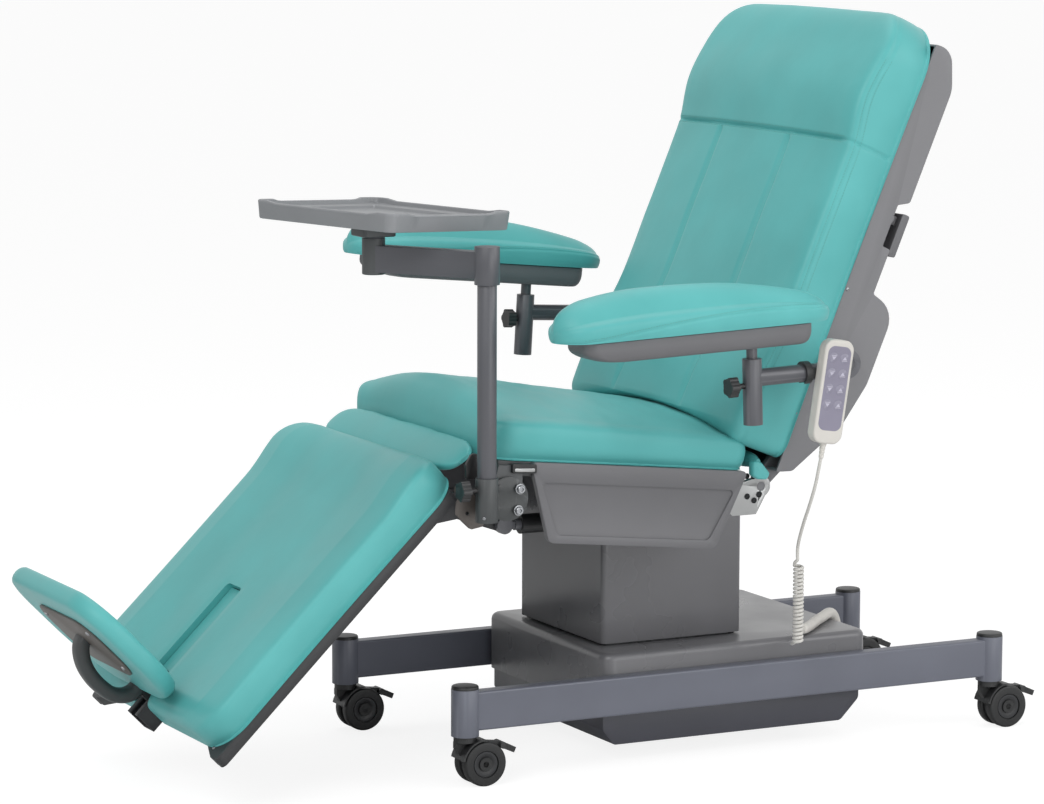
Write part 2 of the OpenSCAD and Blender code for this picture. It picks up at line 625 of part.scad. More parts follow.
leg_start = 38; // upper end of the leg pad
leg_end_r = 66; // rounding of the leg pad's ends
leg_roll = 18; // rounding of the leg pad's sides
leg_mids = 9; // stations between the rounded ends
leg_draw = 5; // how far the sides pull in
slot_half = 14; // half width of the pad's slot
slot_start = 387; // upper end of the pad's slot
leg_roll_at = 246; // middle of the pad's upper roll, from the pad's middle
leg_roll_rise = 10; // rise of that roll
leg_roll_reach = 96; // half length of that roll
leg_dish = 16; // depth of the dish along the leg pad's middle
leg_mid = leg_start + leg_len / 2;
function leg_ring(s) =
    let (along = 2 * s[0] / leg_len, a = s[1],
         half = leg_half - leg_end_r * (1 - cos(a)) - leg_draw * (1 - along * along),
         edge = (leg_edge + bump(s[0], leg_roll_at, leg_roll_reach, leg_roll_rise)) * end_height(a),
         crown = leg_crown * sqrt(cos(a)))
    [for (p = section(half, edge, leg_roll, plain_shares,
        [for (c = plain_shares) edge + (abs(c) > 0.9 ? 0 : crown) - leg_dish * cos(a) * (1 - c * c)]))
        [p[0], leg_mid - s[0], leg_top + soft + p[1]]];
module leg_pad() color(vinyl) on_leg() difference() {
    skin([for (s = stations(leg_len, leg_end_r, leg_mids)) leg_ring(s)]);
    translate([-rail_half - soft, rail_start - soft, leg_top - cut])
        cube([2 * (rail_half + soft), leg_len, rail_top + cut + soft]);
    translate([0, slot_start + leg_len / 2, leg_top])
        linear_extrude(2 * leg_edge) round_rect(2 * slot_half, leg_len, slot_half - cut);
}

// Footboard and its slider
slider_half = 18; // half width of the slider in its rail
slider_len = 60; // length of the slider
slider_start = 540; // upper end of the slider with the footboard out
slider_low = 3.5; // slider's underside above the leg frame
slider_h = 36; // height of the slider
stem_half = 9; // half width of the footboard's stem
stem_l = 24; // length of the stem's section
foot_low = 145; // footboard's lower edge above the leg hinge
foot_u = 598; // footboard's inner face along the leg rest
foot_r = 84; // radius of the footboard's upper corners
foot_low_r = 128; // radius of the footboard's lower corners
foot_plate_half = 92; // half width of the plate behind the footboard
foot_plate_t = 4; // thickness of that plate
loop_half = 15; // half width of the loop handle
loop_out = 42; // how far the loop stands out
loop_t = 18;
loop_top = 330; // upper end of the loop
loop_low = 158; // lower end of the loop
loop_r = 40; // bend of the loop
foot_back = foot_u + foot_t + soft;
function loop_outline(d) = rounded([[foot_back, loop_top - d],
    [foot_back + loop_out - d, loop_top - d - loop_r],
    [foot_back + loop_out - d, loop_low + d + loop_r / 2], [foot_back, loop_low + d]],
    [0, loop_r - d / 2, loop_r - d / 2, 0]);
stem_top = 22; // height of the arm under the footboard
arm_low = foot_low - stem_top - 2 * soft;
module foot_slider() color(dark_grey) on_leg() {
    translate([-slider_half, slider_start, leg_top + slider_low])
        cube([2 * slider_half, slider_len, slider_h]);
    translate([-stem_half, slider_start + slider_len - stem_l, leg_top + slider_low])
        cube([2 * stem_half, stem_l, arm_low + stem_top - leg_top - slider_low]);
    translate([-stem_half, slider_start + slider_len - stem_l, arm_low])
        cube([2 * stem_half, foot_back - slider_start - slider_len + stem_l + foot_plate_t, stem_top]);
    translate([-foot_plate_half, foot_back, arm_low + stem_top - cut])
        cube([2 * foot_plate_half, foot_plate_t, foot_d - 3 * loop_t]);
    plate_x(-loop_half, loop_half) difference() {
        polygon(loop_outline(0));
        polygon(loop_outline(loop_t));
    }
}
foot_roll = 12; // rounding of the footboard's edges
module footboard() color(vinyl) on_leg() {
    translate([0, foot_u, foot_low + foot_d / 2]) rotate([-90, 0, 0]) skin(concat(
        [foot_ring(-1, foot_roll), foot_ring(-0.7, foot_roll / 4), foot_ring(0, 0)],
        [foot_ring(0.7, foot_roll / 4), foot_ring(1, foot_roll)]));
}
foot_corner_n = 5; // steps round each corner of the footboard
function foot_ring(level, inset) =
    let (w = foot_half - inset, d = foot_d / 2 - inset, z = foot_t / 2 * (1 + level))
    [for (p = rounded([[w, -d], [w, d], [-w, d], [-w, -d]], [foot_r, foot_low_r, foot_low_r, foot_r],
        foot_corner_n))
        [p[0], p[1], z]];

// Knee flap: a soft tongue from the seat's front edge down over the leg pad's upper end
flap_y = -546; // middle of the flap, from the middle of the wheelbase
flap_z = 571.2; // height of the flap's middle
flap_half = 268; // half width of the flap
flap_len = 74; // length of the flap down its slope
flap_t = 25; // thickness of the flap
flap_slope = 36; // slope of the flap below level, in degrees
flap_n = 12; // points round the flap's section
flap_shares = [-1, -0.97, -0.85, -0.5, 0, 0.5, 0.85, 0.97, 1];
flap_end_shares = [0.4, 0.75, 0.95, 1, 1, 1, 0.95, 0.75, 0.4];
module knee_flap() color(vinyl) on_base() translate([0, flap_y, flap_z]) rotate([flap_slope, 0, 0])
    skin([for (i = [0:len(flap_shares) - 1]) let (k = flap_end_shares[i])
        [for (j = [0:flap_n - 1]) let (a = -360 * j / flap_n)
            [flap_half * flap_shares[i], flap_len / 2 * k * cos(a),
             flap_t / 2 * k * sign(sin(a)) * sqrt(abs(sin(a)))]]]);

// Rear hinge and back: drawn upright about the hinge, then leaned back
back_y = 30; // back hinge, from the middle of the wheelbase
back_z = 486; // height of the back hinge
rear_ear_r = 19; // radius of the rear ear round its pin
ear_tip_r = 15; // radius of the back's ear round its pin
rear_x = frame_half - 17; // inner face of the rear hinge plates
rear_t = 10; // thickness of the rear hinge plates
module on_back() on_base() translate([0, back_y, back_z]) rotate([-back_slope, 0, 0]) children();
plate_low = 437; // lower end of the rear hinge plates
plate_front = -74; // front end of the rear hinge plates
module rear_hinges() color(steel_grey) on_base() for (side = [0, 1]) mirror([side, 0, 0]) difference() {
    plate_x(rear_x, rear_x + rear_t) {
        translate([back_y, back_z]) circle(rear_ear_r);
        polygon([[back_y + rear_ear_r, back_z], [back_y - rear_ear_r / 2, plate_low],
            [back_y - 3 * rear_ear_r, plate_low],
            [plate_front, tube_under(plate_front) - tube_h], [plate_front, tube_under(plate_front) - seam],
            [frame_rear + seat_y, tube_under(frame_rear + seat_y) - seam], [back_y, back_z + rear_ear_r]]);
    }
    plate_x(rear_x - cut, rear_x + rear_t + cut) translate([back_y, back_z])
        circle(pin_r + fit, $fn = shaft_fn);
}

// The shell's side outline, from its lower front corner up and round, in sizes along the back
shell_front = 2; // front edge of the shell
shell_low = 32; // lower end of the shell
shell_top = 842; // upper end of the shell
shell_deep = 66; // depth of the shell behind the head
shell_waist = 61; // depth of the shell below the lever
shell_notch = 44; // depth of the shell at the lever's notch
notch_top = 550; // upper end of the notch
notch_low = 472; // lower end of the notch
bulge_deep = 114; // depth of the hip bulge
bulge_top = 376; // upper end of the hip bulge
bulge_low = 236; // where the hip bulge starts to taper
tail_deep = 95; // depth half way down the taper
tail_mid = 152; // place half way down the taper
tip_deep = 32; // depth of the shell's lower tip
tip_up = 12; // rise of the shell's lower tip
top_deep = 36; // depth of the shell's top corner
function shell_outline(d) = rounded([
    [shell_front, shell_low + d], [tip_deep - d / 2, shell_low + tip_up + d],
    [tail_deep - d, tail_mid], [bulge_deep - d, bulge_low], [bulge_deep - d, bulge_top - d],
    [shell_waist - d, bulge_top + tip_up - d], [shell_waist - d, notch_low - d],
        [shell_notch - d, notch_low - d],
    [shell_notch - d, notch_top + d], [shell_deep - d, notch_top + tip_up + d],
        [shell_deep - d, shell_top - shell_deep],
    [top_deep, shell_top - d], [shell_front, shell_top - shell_wall - d]],
    [2, 14, 60, 60, 44, 5, 4, 3, 3, 8, 60, 34, 2]);
pivot_y = 176; // armrest pivot, from the middle of the wheelbase
pivot_z = 700; // height of the armrest pivot
pivot_pin_r = 10; // radius of the armrest's pivot pin
pivot_boss_r = 26; // radius of the boss round that pin
pivot_deep = 22; // depth of the boss inside the shell
module at_pivots() on_base() translate([0, pivot_y, pivot_z]) children();
module back_shell() color(panel_grey) {
    difference() {
        union() {
            on_back() difference() {
                plate_x(-shell_half, shell_half) polygon(shell_outline(0));
                plate_x(-shell_half + shell_wall, shell_half - shell_wall)
                    translate([-cut * 2, 0]) polygon(shell_outline(shell_wall));
                translate([-shell_half + shell_wall, shell_front - cut, shell_low + 2 * shell_wall])
                    cube([2 * (shell_half - shell_wall), shell_wall,
                        shell_top - shell_low - 4 * shell_wall]);
            }
            at_pivots() for (s = [-1, 1]) mirror([s < 0 ? 1 : 0, 0, 0])
                plate_x(shell_half - pivot_deep, shell_half - cut) circle(pivot_boss_r);
        }
        at_pivots() for (s = [-1, 1]) mirror([s < 0 ? 1 : 0, 0, 0])
            plate_x(shell_half - pivot_deep - cut, shell_half + cut)
                circle(pivot_pin_r + fit, $fn = shaft_fn);
    }
    on_back() for (s = [-1, 1]) mirror([s < 0 ? 1 : 0, 0, 0]) {
        plate_x(rear_x - air - rear_t, rear_x - air) {
            circle(ear_tip_r);
            polygon([[-ear_tip_r, 0], [ear_tip_r, 0], [tail_deep / 2, shell_low + 2 * rear_ear_r],
                [2 * shell_wall, shell_low + 2 * rear_ear_r]]);
        }
        plate_x(rear_x - air - rear_t, rear_x + rear_t - air) circle(pin_r, $fn = shaft_fn);
    }
    on_back() lever_lugs();
    crank = [crank_y * cos(back_slope) - crank_z * sin(back_slope),
        crank_y * sin(back_slope) + crank_z * cos(back_slope)];
    on_back() plate_x(-crank_x, -crank_x + lever_t) {
        translate(crank) circle(lever_r);
        polygon([crank + [-lever_r, 0], crank + [lever_r, 0], [tip_deep, shell_low + tip_up],
            [2 * shell_wall, shell_low + tip_up]]);
    }
}
back_end_r = 96; // rounding of the back cushion's upper end
back_low_r = 40; // rounding of its lower end
back_roll = 22; // rounding of the back cushion's sides
back_draw = 6; // how far the sides pull in
head_seam = 250; // seam below the head, from the cushion's top
channel_share = 0.42; // place of the two upright channels across the cushion
channel_deep = 7; // depth of the channels
back_top_shares = [0.95, 0.8, 0.6, 0.46, 0.42, 0.38, 0.15, -0.15, -0.38, -0.42, -0.46, -0.6, -0.8, -0.95];
back_mid = back_low + back_len / 2;
heel_rise = 27; // how far the lower end is drawn up over the seat cushion's crown
seam_at = back_len / 2 - head_seam;
seam_w = 9; // width of the head seam's groove
back_stops = [[-back_len / 2 + back_low_r, 0], [-250, 0], [-190, 0], [-100, 0], [0, 0], [80, 0],
    [seam_at - seam_w, 0],
    [seam_at, 1], [seam_at + seam_w, 0], [seam_at + 50, 0], [seam_at + 100, 0],
        [back_len / 2 - back_end_r, 0]];
function back_stations() = concat(
    [for (a = end_turns) [-back_len / 2 + back_low_r - back_low_r * sin(a), a, 0]],
    [for (b = back_stops) [b[0], 0, b[1]]],
    [for (i = [len(end_turns) - 1:-1:0]) [back_len / 2 - back_end_r + back_end_r * sin(end_turns[i]),
        end_turns[i], 0]]);
// Extra thickness along the cushion: a head roll and a low support
head_at = 242; // middle of the head roll, above the cushion's middle
head_rise = 16; // rise of the head roll
head_reach = 110; // half length of the head roll
low_at = -335; // middle of the low support
low_rise = 19; // rise of the low support
low_reach = 200; // half length of the low support
function back_ring(s) =
    let (along = 2 * s[0] / back_len, a = s[1],
         half = back_half - (s[0] < 0 ? back_low_r : back_end_r) * (1 - cos(a)) - back_draw * (1 - along * along),
         thick = back_edge + bump(s[0], head_at, head_reach, head_rise) + bump(s[0], low_at, low_reach,
             low_rise),
         edge = thick * end_height(a), crown = back_crown * sqrt(cos(a)),
         deep = s[0] < seam_at && a == 0 ? channel_deep : 0)
    [for (p = section(half, edge, back_roll, back_top_shares,
        [for (c = back_top_shares) edge + crown * (1 - c * c) - s[2] * channel_deep
            - (abs(abs(c) - channel_share) < 0.01 ? deep : 0)])) [p[0], shell_front - soft - p[1],
        back_mid + s[0] + (s[0] < 0 ? heel_rise * sin(a) * (1 - pow(p[0] / back_half, 2)) : 0)]];
module back_cushion() color(vinyl) on_back() skin([for (s = back_stations()) back_ring(s)]);

lever_pin_r = 4; // radius of the release lever's pin
lever_hinge = [52, 526]; // that pin behind and above the back hinge
lug_r = 8;
lug_t = 6;
grip_w = 96;
grip_x = 198; // inner end of the grip
grip_t = 15;
grip_out = 68; // grip's inner face behind the shell's front edge
grip_low = 463; // lower end of the grip
grip_top = 542; // upper end of the grip
web_in = 3; // gap between the lever's web and the shell
web_x0 = grip_x + grip_t;
web_x1 = grip_x + grip_w - grip_t;
module lever_lugs() for (x = [web_x0 - air - lug_t, web_x1 + air]) plate_x(x, x + lug_t) difference() {
    union() {
        translate(lever_hinge) circle(lug_r);
        translate([shell_notch - cut, lever_hinge[1] - lug_r])
            square([lever_hinge[0] - shell_notch + cut, 2 * lug_r]);
    }
    translate(lever_hinge) circle(lever_pin_r + fit, $fn = shaft_fn);
}
module release_lever() color(steel_grey) on_back() {
    plate_x(grip_x, grip_x + grip_w) polygon(rounded([[grip_out, grip_low], [grip_out + grip_t, grip_low],
        [grip_out + grip_t, grip_top], [grip_out, grip_top]], [4, 4, 4, 4], 3));
    plate_x(web_x0, web_x1) translate([shell_notch + web_in, lever_hinge[1] - lug_r])
        square([grip_out - shell_notch - web_in + cut, 2 * lug_r]);
    plate_x(web_x0 - lug_t, web_x1 + lug_t) translate(lever_hinge) circle(lever_pin_r, $fn = shaft_fn);
}

// Actuators: housings hung from the seat frame, and rods that push the levers
motor_w = 56;
motor_len = 110;
motor_h = 52;
case_r = 17;
case_len = 110;
rod_r = 10;
rod_in = 70; // length of rod inside its tube
rod_slack = 5; // between a lever's round end and the rod
eye_r = 15;
eye_t = 12;
leg_back_stroke = 10; // room behind the leg rod
back_stroke = 54; // room for the back rod to pull in
hanger_len = 40;
// A housing whose rod leaves at y0 towards the side named; depth is the bore's, z the axis height
module housing(x, y0, z, way, depth) difference() {
    union() {
        translate([x, y0, z]) rotate([-90 * way, 0, 0]) cylinder(h = case_len, r = case_r);
        translate([x - motor_w / 2, y0 + way * (case_len + motor_len / 2) - motor_len / 2, z - motor_h / 2])
            cube([motor_w, motor_len, motor_h]);
        y1 = y0 + way * (case_len + motor_len / 2) - hanger_len / 2;
        y2 = y1 + hanger_len;
        plate_x(x - case_r / 2, x + case_r / 2)
            polygon([[y1, z], [y2, z], [y2, pan_under(y2) - seam], [y1, pan_under(y1) - seam]]);
    }
    translate([x, y0 - way * cut, z]) rotate([-90 * way, 0, 0])
        cylinder(h = depth + cut, r = rod_r + fit, $fn = shaft_fn);
}
module rod(x, y0, z, way, len) {
    neck = lever_r + rod_slack;
    translate([x, y0 + way * neck, z]) rotate([-90 * way, 0, 0])
        cylinder(h = len - neck, r = rod_r, $fn = shaft_fn);
    plate_x(x - eye_t / 2, x + eye_t / 2) translate([y0, z]) {
        circle(eye_r);
        translate([way > 0 ? 0 : -neck - eye_t, -eye_t / 2]) square([neck + eye_t, eye_t]);
    }
}
leg_act_x = lever_x + air + eye_t / 2;
leg_act_z = leg_z + lever_z;
leg_eye_y = leg_y + lever_y;
leg_case_y = leg_eye_y + 2 * eye_r;
module leg_actuator() color(black) on_base()
    housing(leg_act_x, leg_case_y, leg_act_z, 1, rod_in + leg_back_stroke);
module leg_rod() color(steel_grey) on_base() rod(leg_act_x, leg_eye_y, leg_act_z, 1, 2 * eye_r + rod_in);
crank_x = 200; // outer face of the crank under the back
crank_y = 8; // crank's eye behind the back hinge
crank_z = -54; // crank's eye below the back hinge
back_act_x = -crank_x - air - eye_t / 2;
back_act_z = back_z + crank_z;
back_eye_y = back_y + crank_y;
back_case_y = back_eye_y - 2 * eye_r - back_stroke;
module back_actuator() color(black) on_base()
    housing(back_act_x, back_case_y, back_act_z, -1, rod_in + back_stroke);
module back_rod() color(steel_grey) on_base()
    rod(back_act_x, back_eye_y, back_act_z, -1, 2 * eye_r + back_stroke + rod_in);

// Armrests: drawn level about their pivot, then pitched
arm_y = -78; // clamp sleeve, from the middle of the wheelbase
arm_z = 711; // height of the bracket tube
clamp_low = 631; // lower end of the clamp sleeve
clamp_top = 745; // upper end of the clamp sleeve
elbow_y = 40; // where the bracket tube turns inward
tray_low = 765; // underside of an arm tray
tray_t = 39; // height of an arm tray
post_stop = 4; // post's lower end above the sleeve's lower end
knob_r = 18;
knob_t = 16;
knob_z = 699; // height of a clamp knob
screw_r = 5; // radius of a clamp knob's screw
screw_gap = 16; // length of screw that shows at the left and at the table
screw_gap_right = 8; // length of screw that shows at the right
pad_y = -196; // middle of an arm pad
pivot_x = shell_half + air;
pivot_disc = 20; // thickness of the pivot disc
module on_arm(side) at_pivots() rotate([side > 0 ? left_pitch : -right_pitch, 0, 0])
    mirror([side < 0 ? 1 : 0, 0, 0]) translate([0, -pivot_y, -pivot_z]) children();
module arm_bracket(side) color(steel_grey) on_arm(side) difference() {
    union() {
        translate([arm_x, arm_y, clamp_low])
            cylinder(h = clamp_top - clamp_low, r = clamp_r, $fn = shaft_fn);
        bar([arm_x, arm_y, arm_z], [arm_x, elbow_y, arm_z], arm_tube_r);
        translate([arm_x, elbow_y, arm_z]) sphere(arm_tube_r);
        bar([arm_x, elbow_y, arm_z], [pivot_x + pivot_disc, pivot_y, pivot_z], arm_tube_r - cut);
        translate([0, pivot_y, pivot_z]) {
            plate_x(pivot_x, pivot_x + pivot_disc) circle(pivot_boss_r);
            plate_x(pivot_x - pivot_deep, pivot_x + cut) circle(pivot_pin_r, $fn = shaft_fn);
        }
    }
    translate([arm_x, arm_y, clamp_low - cut])
        cylinder(h = clamp_top - clamp_low + 2 * cut, r = arm_post_r + fit, $fn = shaft_fn);
    translate([arm_x, arm_y, knob_z]) rotate([90, 0, 0])
        cylinder(h = clamp_r + cut, r = screw_r + fit, $fn = shaft_fn);
    plate_x(pivot_x - 2 * arm_tube_r, pivot_x) translate([pivot_y, pivot_z]) difference() {
        circle(3 * pivot_boss_r);
        circle(pivot_pin_r + air);
    }
}
pad_tilt = 2.3; // extra tilt of the right pad on its post, in degrees
module on_pad(side) on_arm(side) translate([arm_x, arm_y, tray_low])
    rotate([side > 0 ? 0 : -pad_tilt, 0, 0])
    translate([-arm_x, -arm_y, -tray_low]) children();
module arm_post(side) color(dark_grey) on_arm(side)
    translate([arm_x, arm_y, clamp_low + post_stop])
        cylinder(h = tray_low - clamp_low - post_stop - 4 * seam, r = arm_post_r, $fn = shaft_fn);
tray_wide = 92; // width of an arm tray at its top
tray_slim = 62; // width of an arm tray's underside
tray_long = 440; // length of an arm tray at its top
tray_short = 366; // length of an arm tray's underside
tray_front = -416; // front end of an arm tray
tray_short_front = -350; // front end of an arm tray's underside
tray_lip = 14; // upright part of an arm tray's side
tray_corner = 24; // corner radius of an arm tray
module tray_slab(w, y0, len, r, z, t) translate([arm_x, y0 + len / 2, z]) linear_extrude(t)
    round_rect(w, len, r);
module arm_tray(side) color(panel_grey) on_pad(side) hull() {
    tray_slab(tray_slim, tray_short_front, tray_short, tray_corner, tray_low, seam, $fn = 32);
    tray_slab(tray_wide, tray_front, tray_long, tray_corner, tray_low + tray_t - tray_lip, tray_lip,
        $fn = 32);
}
arm_end_r = 56; // rounding of an arm pad's ends
arm_roll = 14; // rounding of an arm pad's sides
arm_mids = 4; // stations between the rounded ends
arm_crown = 20; // rise of an arm pad's crown
arm_rear_lift = 6; // how much higher the pad's rear is
arm_shares = [0.9, 0.5, 0, -0.5, -0.9];
function arm_ring(s) =
    let (along = 2 * s[0] / arm_len, a = s[1], half = arm_w / 2 - arm_end_r * (1 - cos(a)),
         edge = (arm_edge + arm_rear_lift * along) * end_height(a), crown = arm_crown * sqrt(cos(a)))
    [for (p = section(half, edge, arm_roll * cos(a / 2), arm_shares,
        [for (c = arm_shares) edge + crown * (1 - c * c)]))
        [arm_x + p[0], pad_y + s[0], tray_low + tray_t + soft + p[1]]];
module arm_pad(side) color(vinyl) on_pad(side)
    skin([for (s = stations(arm_len, arm_end_r, arm_mids)) arm_ring(s)]);
lobes = 5; // lobes round a clamp knob
lobe_r = 6; // radius of each lobe
module knob(at, depth) translate(at) rotate([90, 0, 0]) {
    cylinder(h = depth, r = screw_r, $fn = shaft_fn);
    translate([0, 0, depth - cut]) {
        cylinder(h = knob_t, r = knob_r - lobe_r / 2);
        for (i = [0:lobes - 1]) rotate([0, 0, 360 * i / lobes]) translate([knob_r - lobe_r, 0, 0])
            cylinder(h = knob_t, r = lobe_r);
    }
}
module arm_knob(side) color(black) on_arm(side)
    knob([arm_x, arm_y - arm_post_r - air, knob_z],
        clamp_r - arm_post_r + (side > 0 ? screw_gap : screw_gap_right));

// Table: socket on the left front hinge, mast, swing arm and tray
mast_x = frame_half + mast_out;
mast_y = -534; // mast, from the middle of the wheelbase
socket_low = 472; // lower end of the socket
socket_top = 547; // upper end of the socket
socket_wall = 3; // wall of the socket
flange_r = 38; // radius of the socket's flange
flange_t = 6; // thickness of the socket's flange
flange_x = frame_half + ear_t + seam;
bolt_ring = 26; // bolts from the flange's middle
bolt_turns = [40, 130, 220, 310];
gusset_z = 24; // half height of the socket's gusset
mast_low = 476; // lower end of the mast
table_knob_z = 527; // height of the table's clamp knob
socket_r = mast_r + socket_wall;
module at_mast() on_base() translate([mast_x, mast_y, 0]) children();
module table_socket() color(dark_grey) difference() {
    union() {
        at_mast() translate([0, 0, socket_low])
            cylinder(h = socket_top - socket_low, r = socket_r, $fn = shaft_fn);
        on_base() {
            plate_x(flange_x, flange_x + flange_t) translate([leg_y, leg_z]) circle(flange_r);
            translate([flange_x, mast_y, leg_z - gusset_z]) cube([flange_t, leg_y - mast_y, 2 * gusset_z]);
            translate([flange_x, mast_y, leg_z - gusset_z])
                cube([mast_x - flange_x, flange_t, 2 * gusset_z]);
            for (a = bolt_turns) translate([flange_x + flange_t, leg_y + bolt_ring * cos(a),
                leg_z + bolt_ring * sin(a)])
                rotate([0, 90, 0]) cylinder(h = bolt_h, r = bolt_r);
        }
    }
    at_mast() translate([0, 0, socket_low - cut])
        cylinder(h = socket_top - socket_low + 2 * cut, r = mast_r + fit, $fn = shaft_fn);
    at_mast() translate([0, 0, table_knob_z]) rotate([90, 0, 0])
        cylinder(h = socket_r + cut, r = screw_r + fit, $fn = shaft_fn);
}
spigot_r = 12; // radius of the spigot that the swing arm turns on
spigot_h = 40; // height of that spigot
module table_mast() color(steel_grey) at_mast() {
    translate([0, 0, mast_low]) cylinder(h = mast_top - mast_low, r = mast_r, $fn = shaft_fn);
    translate([0, 0, mast_top - cut]) cylinder(h = spigot_h + cut, r = spigot_r, $fn = shaft_fn);
}
cap_r = 21.5;
cap_top = 64; // height of the cap
swing_turn = 213; // direction of the swing arm, in degrees from +X
swing_w = 30; // width of the swing arm
swing_h = 45; // height of the swing arm
swing_low = 10; // swing arm's underside above the cap's lower end
hub_block_r = 19; // radius of the block at the swing arm's end
hub_low = 6; // block's lower end above the cap's lower end
hub_top = 70; // block's upper end above the cap's lower end
module on_swing() at_mast() rotate([0, 0, swing_turn]) translate([0, 0, mast_top + air]) children();
module table_arm() color(steel_grey) on_swing() difference() {
    union() {
        cylinder(h = cap_top, r = cap_r);
        translate([0, -swing_w / 2, swing_low]) cube([swing_len, swing_w, swing_h]);
        translate([swing_len, 0, hub_low]) cylinder(h = hub_top - hub_low, r = hub_block_r);
    }
    translate([0, 0, -cut]) cylinder(h = spigot_h + cut + air, r = spigot_r + fit, $fn = shaft_fn);
    translate([swing_len, 0, hub_top - spigot_h])
        cylinder(h = spigot_h + cut, r = spigot_r + fit, $fn = shaft_fn);
}
tray_yaw = 15; // turn of the tray, in degrees
tray_lean = 2.5; // fall of the tray towards the sitter, in degrees
tray_dx = -43; // tray's middle from the block, across
tray_dy = 37; // tray's middle from the block, along
tray_wall = 7; // width of the tray's rim
tray_floor = 6; // thickness of the tray's floor
tray_cut = 20; // corner radius of the tray
boss_drop = 5; // height of the plate under the tray
boss_plate = 60; // half length of the plate under the tray
hub_at = [mast_x + swing_len * cos(swing_turn), mast_y + swing_len * sin(swing_turn),
    mast_top + air + hub_top];
module table_tray() color(panel_grey) on_base() {
    translate(hub_at + [tray_dx, tray_dy, boss_drop + 2 * boss_drop]) rotate([-tray_lean, 0, tray_yaw])
        difference() {
        linear_extrude(tray_h) round_rect(tray_w, tray_d, tray_cut);
        translate([0, 0, tray_floor]) linear_extrude(tray_h)
            round_rect(tray_w - 2 * tray_wall, tray_d - 2 * tray_wall, tray_cut - tray_wall);
    }
    translate(hub_at + [0, 0, air]) {
        translate([0, 0, -spigot_h + 2 * air])
            cylinder(h = spigot_h + boss_drop, r = spigot_r, $fn = shaft_fn);
        linear_extrude(3 * boss_drop) round_rect(boss_plate, boss_plate, boss_drop);
    }
}
module table_knob() color(black) at_mast() knob([0, -mast_r - air, table_knob_z], socket_wall + screw_gap);

// Handset: hooked over the left arm's tube, facing outward
pad_x = 458.5; // middle of the handset's thickness
pad_foot_y = 47; // handset's lower end, from the middle of the wheelbase
pad_foot_z = 586; // height of the handset's lower end
pad_lean = 8.7; // lean of the handset, in degrees
pad_r = 15; // corner radius of the handset
keys_w = 46;
keys_len = 136;
keys_t = 1;
key_r = 6.5;
key_rise = 0.8; // height of each key
key_rows = 4; // rows of keys
key_step = 27; // distance between rows
key_gap = 22; // distance between columns
keys_up = 8; // keypad's middle above the handset's middle
relief_r = 5.5; // radius of the strain relief at the handset
relief_len = 26; // length of that strain relief
clip_y0 = 20; // front of the clip on the bracket's tube
clip_y1 = 44; // rear of the clip's foot, inside the handset
clip_len = 12; // length of the clip along the tube
clip_t = 5; // thickness of the clip
clip_foot = 22; // height of the clip's foot
clip_in = 3; // how far the clip's foot enters the handset
module on_handset() on_base() translate([pad_x, pad_foot_y, pad_foot_z]) rotate([-pad_lean, 0, 0])
    children();
module handset_clip() on_arm(1) {
    translate([arm_x, clip_y0, arm_z]) rotate([-90, 0, 0]) linear_extrude(clip_len) difference() {
        circle(arm_tube_r + clip_t, $fn = shaft_fn);
        circle(arm_tube_r + seam, $fn = shaft_fn);
        translate([-2 * arm_tube_r, 0]) square(2 * arm_tube_r);
    }
    translate([arm_x + arm_tube_r + 2 * air, clip_y0, arm_z - clip_foot / 2])
        cube([pad_x - pad_t / 2 - arm_x - arm_tube_r - 2 * air + clip_in, clip_y1 - clip_y0, clip_foot]);
}
module handset_body() color(pale) {
    handset_clip();
    on_handset() handset_case();
}
module handset_case() {
    difference() {
        translate([-pad_t / 2, 0, pad_len / 2]) rotate([90, 0, 90]) linear_extrude(pad_t)
            round_rect(pad_w, pad_len, pad_r);
        translate([pad_t / 2 - keys_t, 0, pad_len / 2 + keys_up]) rotate([90, 0, 90])
            linear_extrude(keys_t + cut) round_rect(keys_w + 2 * seam, keys_len + 2 * seam, pad_r / 2);
    }
    translate([0, 0, -relief_len + seam]) cylinder(h = relief_len, r1 = cord_d / 2 + cut, r2 = relief_r,
        $fn = 24);
}
module handset_keypad() color([0.6, 0.6, 0.66]) on_handset()
    translate([pad_t / 2 - keys_t, 0, pad_len / 2 + keys_up]) rotate([90, 0, 90]) {
        linear_extrude(keys_t) round_rect(keys_w, keys_len, pad_r / 2);
        for (row = [0:key_rows - 1], col = [-1, 1])
            translate([col * key_gap / 2, (row - (key_rows - 1) / 2) * key_step, keys_t - seam])
                cylinder(h = key_rise, r = key_r);
    }

// Cords: the route's points are chosen by hand, from the middle of the wheelbase
lead_points = [[458.5, 43, 560], [456, 41, 544], [442, 43, 512], [418, 47, 475], [387, 54, 438],
    [361, 61, 406], [347, 66, 388], [344, 67, 379], [344, 67, 374]];
curl_x = 335;
curl_y = 75;
curl_z = 214;
tail_points = [[240, 140, 213], [252, 129, 208], [270, 112, 204], [290, 95, 203], [310, 78, 206]];
boot_points = [[238, 142, 213], [222, 158, 210], [196, 184, 208.5], [164, 216, 208.5], [132, 250, 208.5],
    [110, 274, 208.5], [98, 290, 202.5], [92, 300, 186], [90, 303, 166]];
boot_r = 8;
gland_r = 14;
gland_h = 26;
cord_r = cord_d / 2;
curl_r = (curl_d - cord_d) / 2;
curl_start = 240;
curl_steps = 8;
cord_steps = 3;
function curl_point(i) = let (a = curl_start + 360 * i / curl_steps)
    [curl_x + curl_r * cos(a), curl_y + curl_r * sin(a), curl_z + curl_pitch * i / curl_steps];
curl_count = curl_turns * curl_steps;
curl_coil = [for (i = [0:curl_count]) curl_point(i)];
curl_end = curl_point(curl_count);
lead_low = lead_points[len(lead_points) - 1];
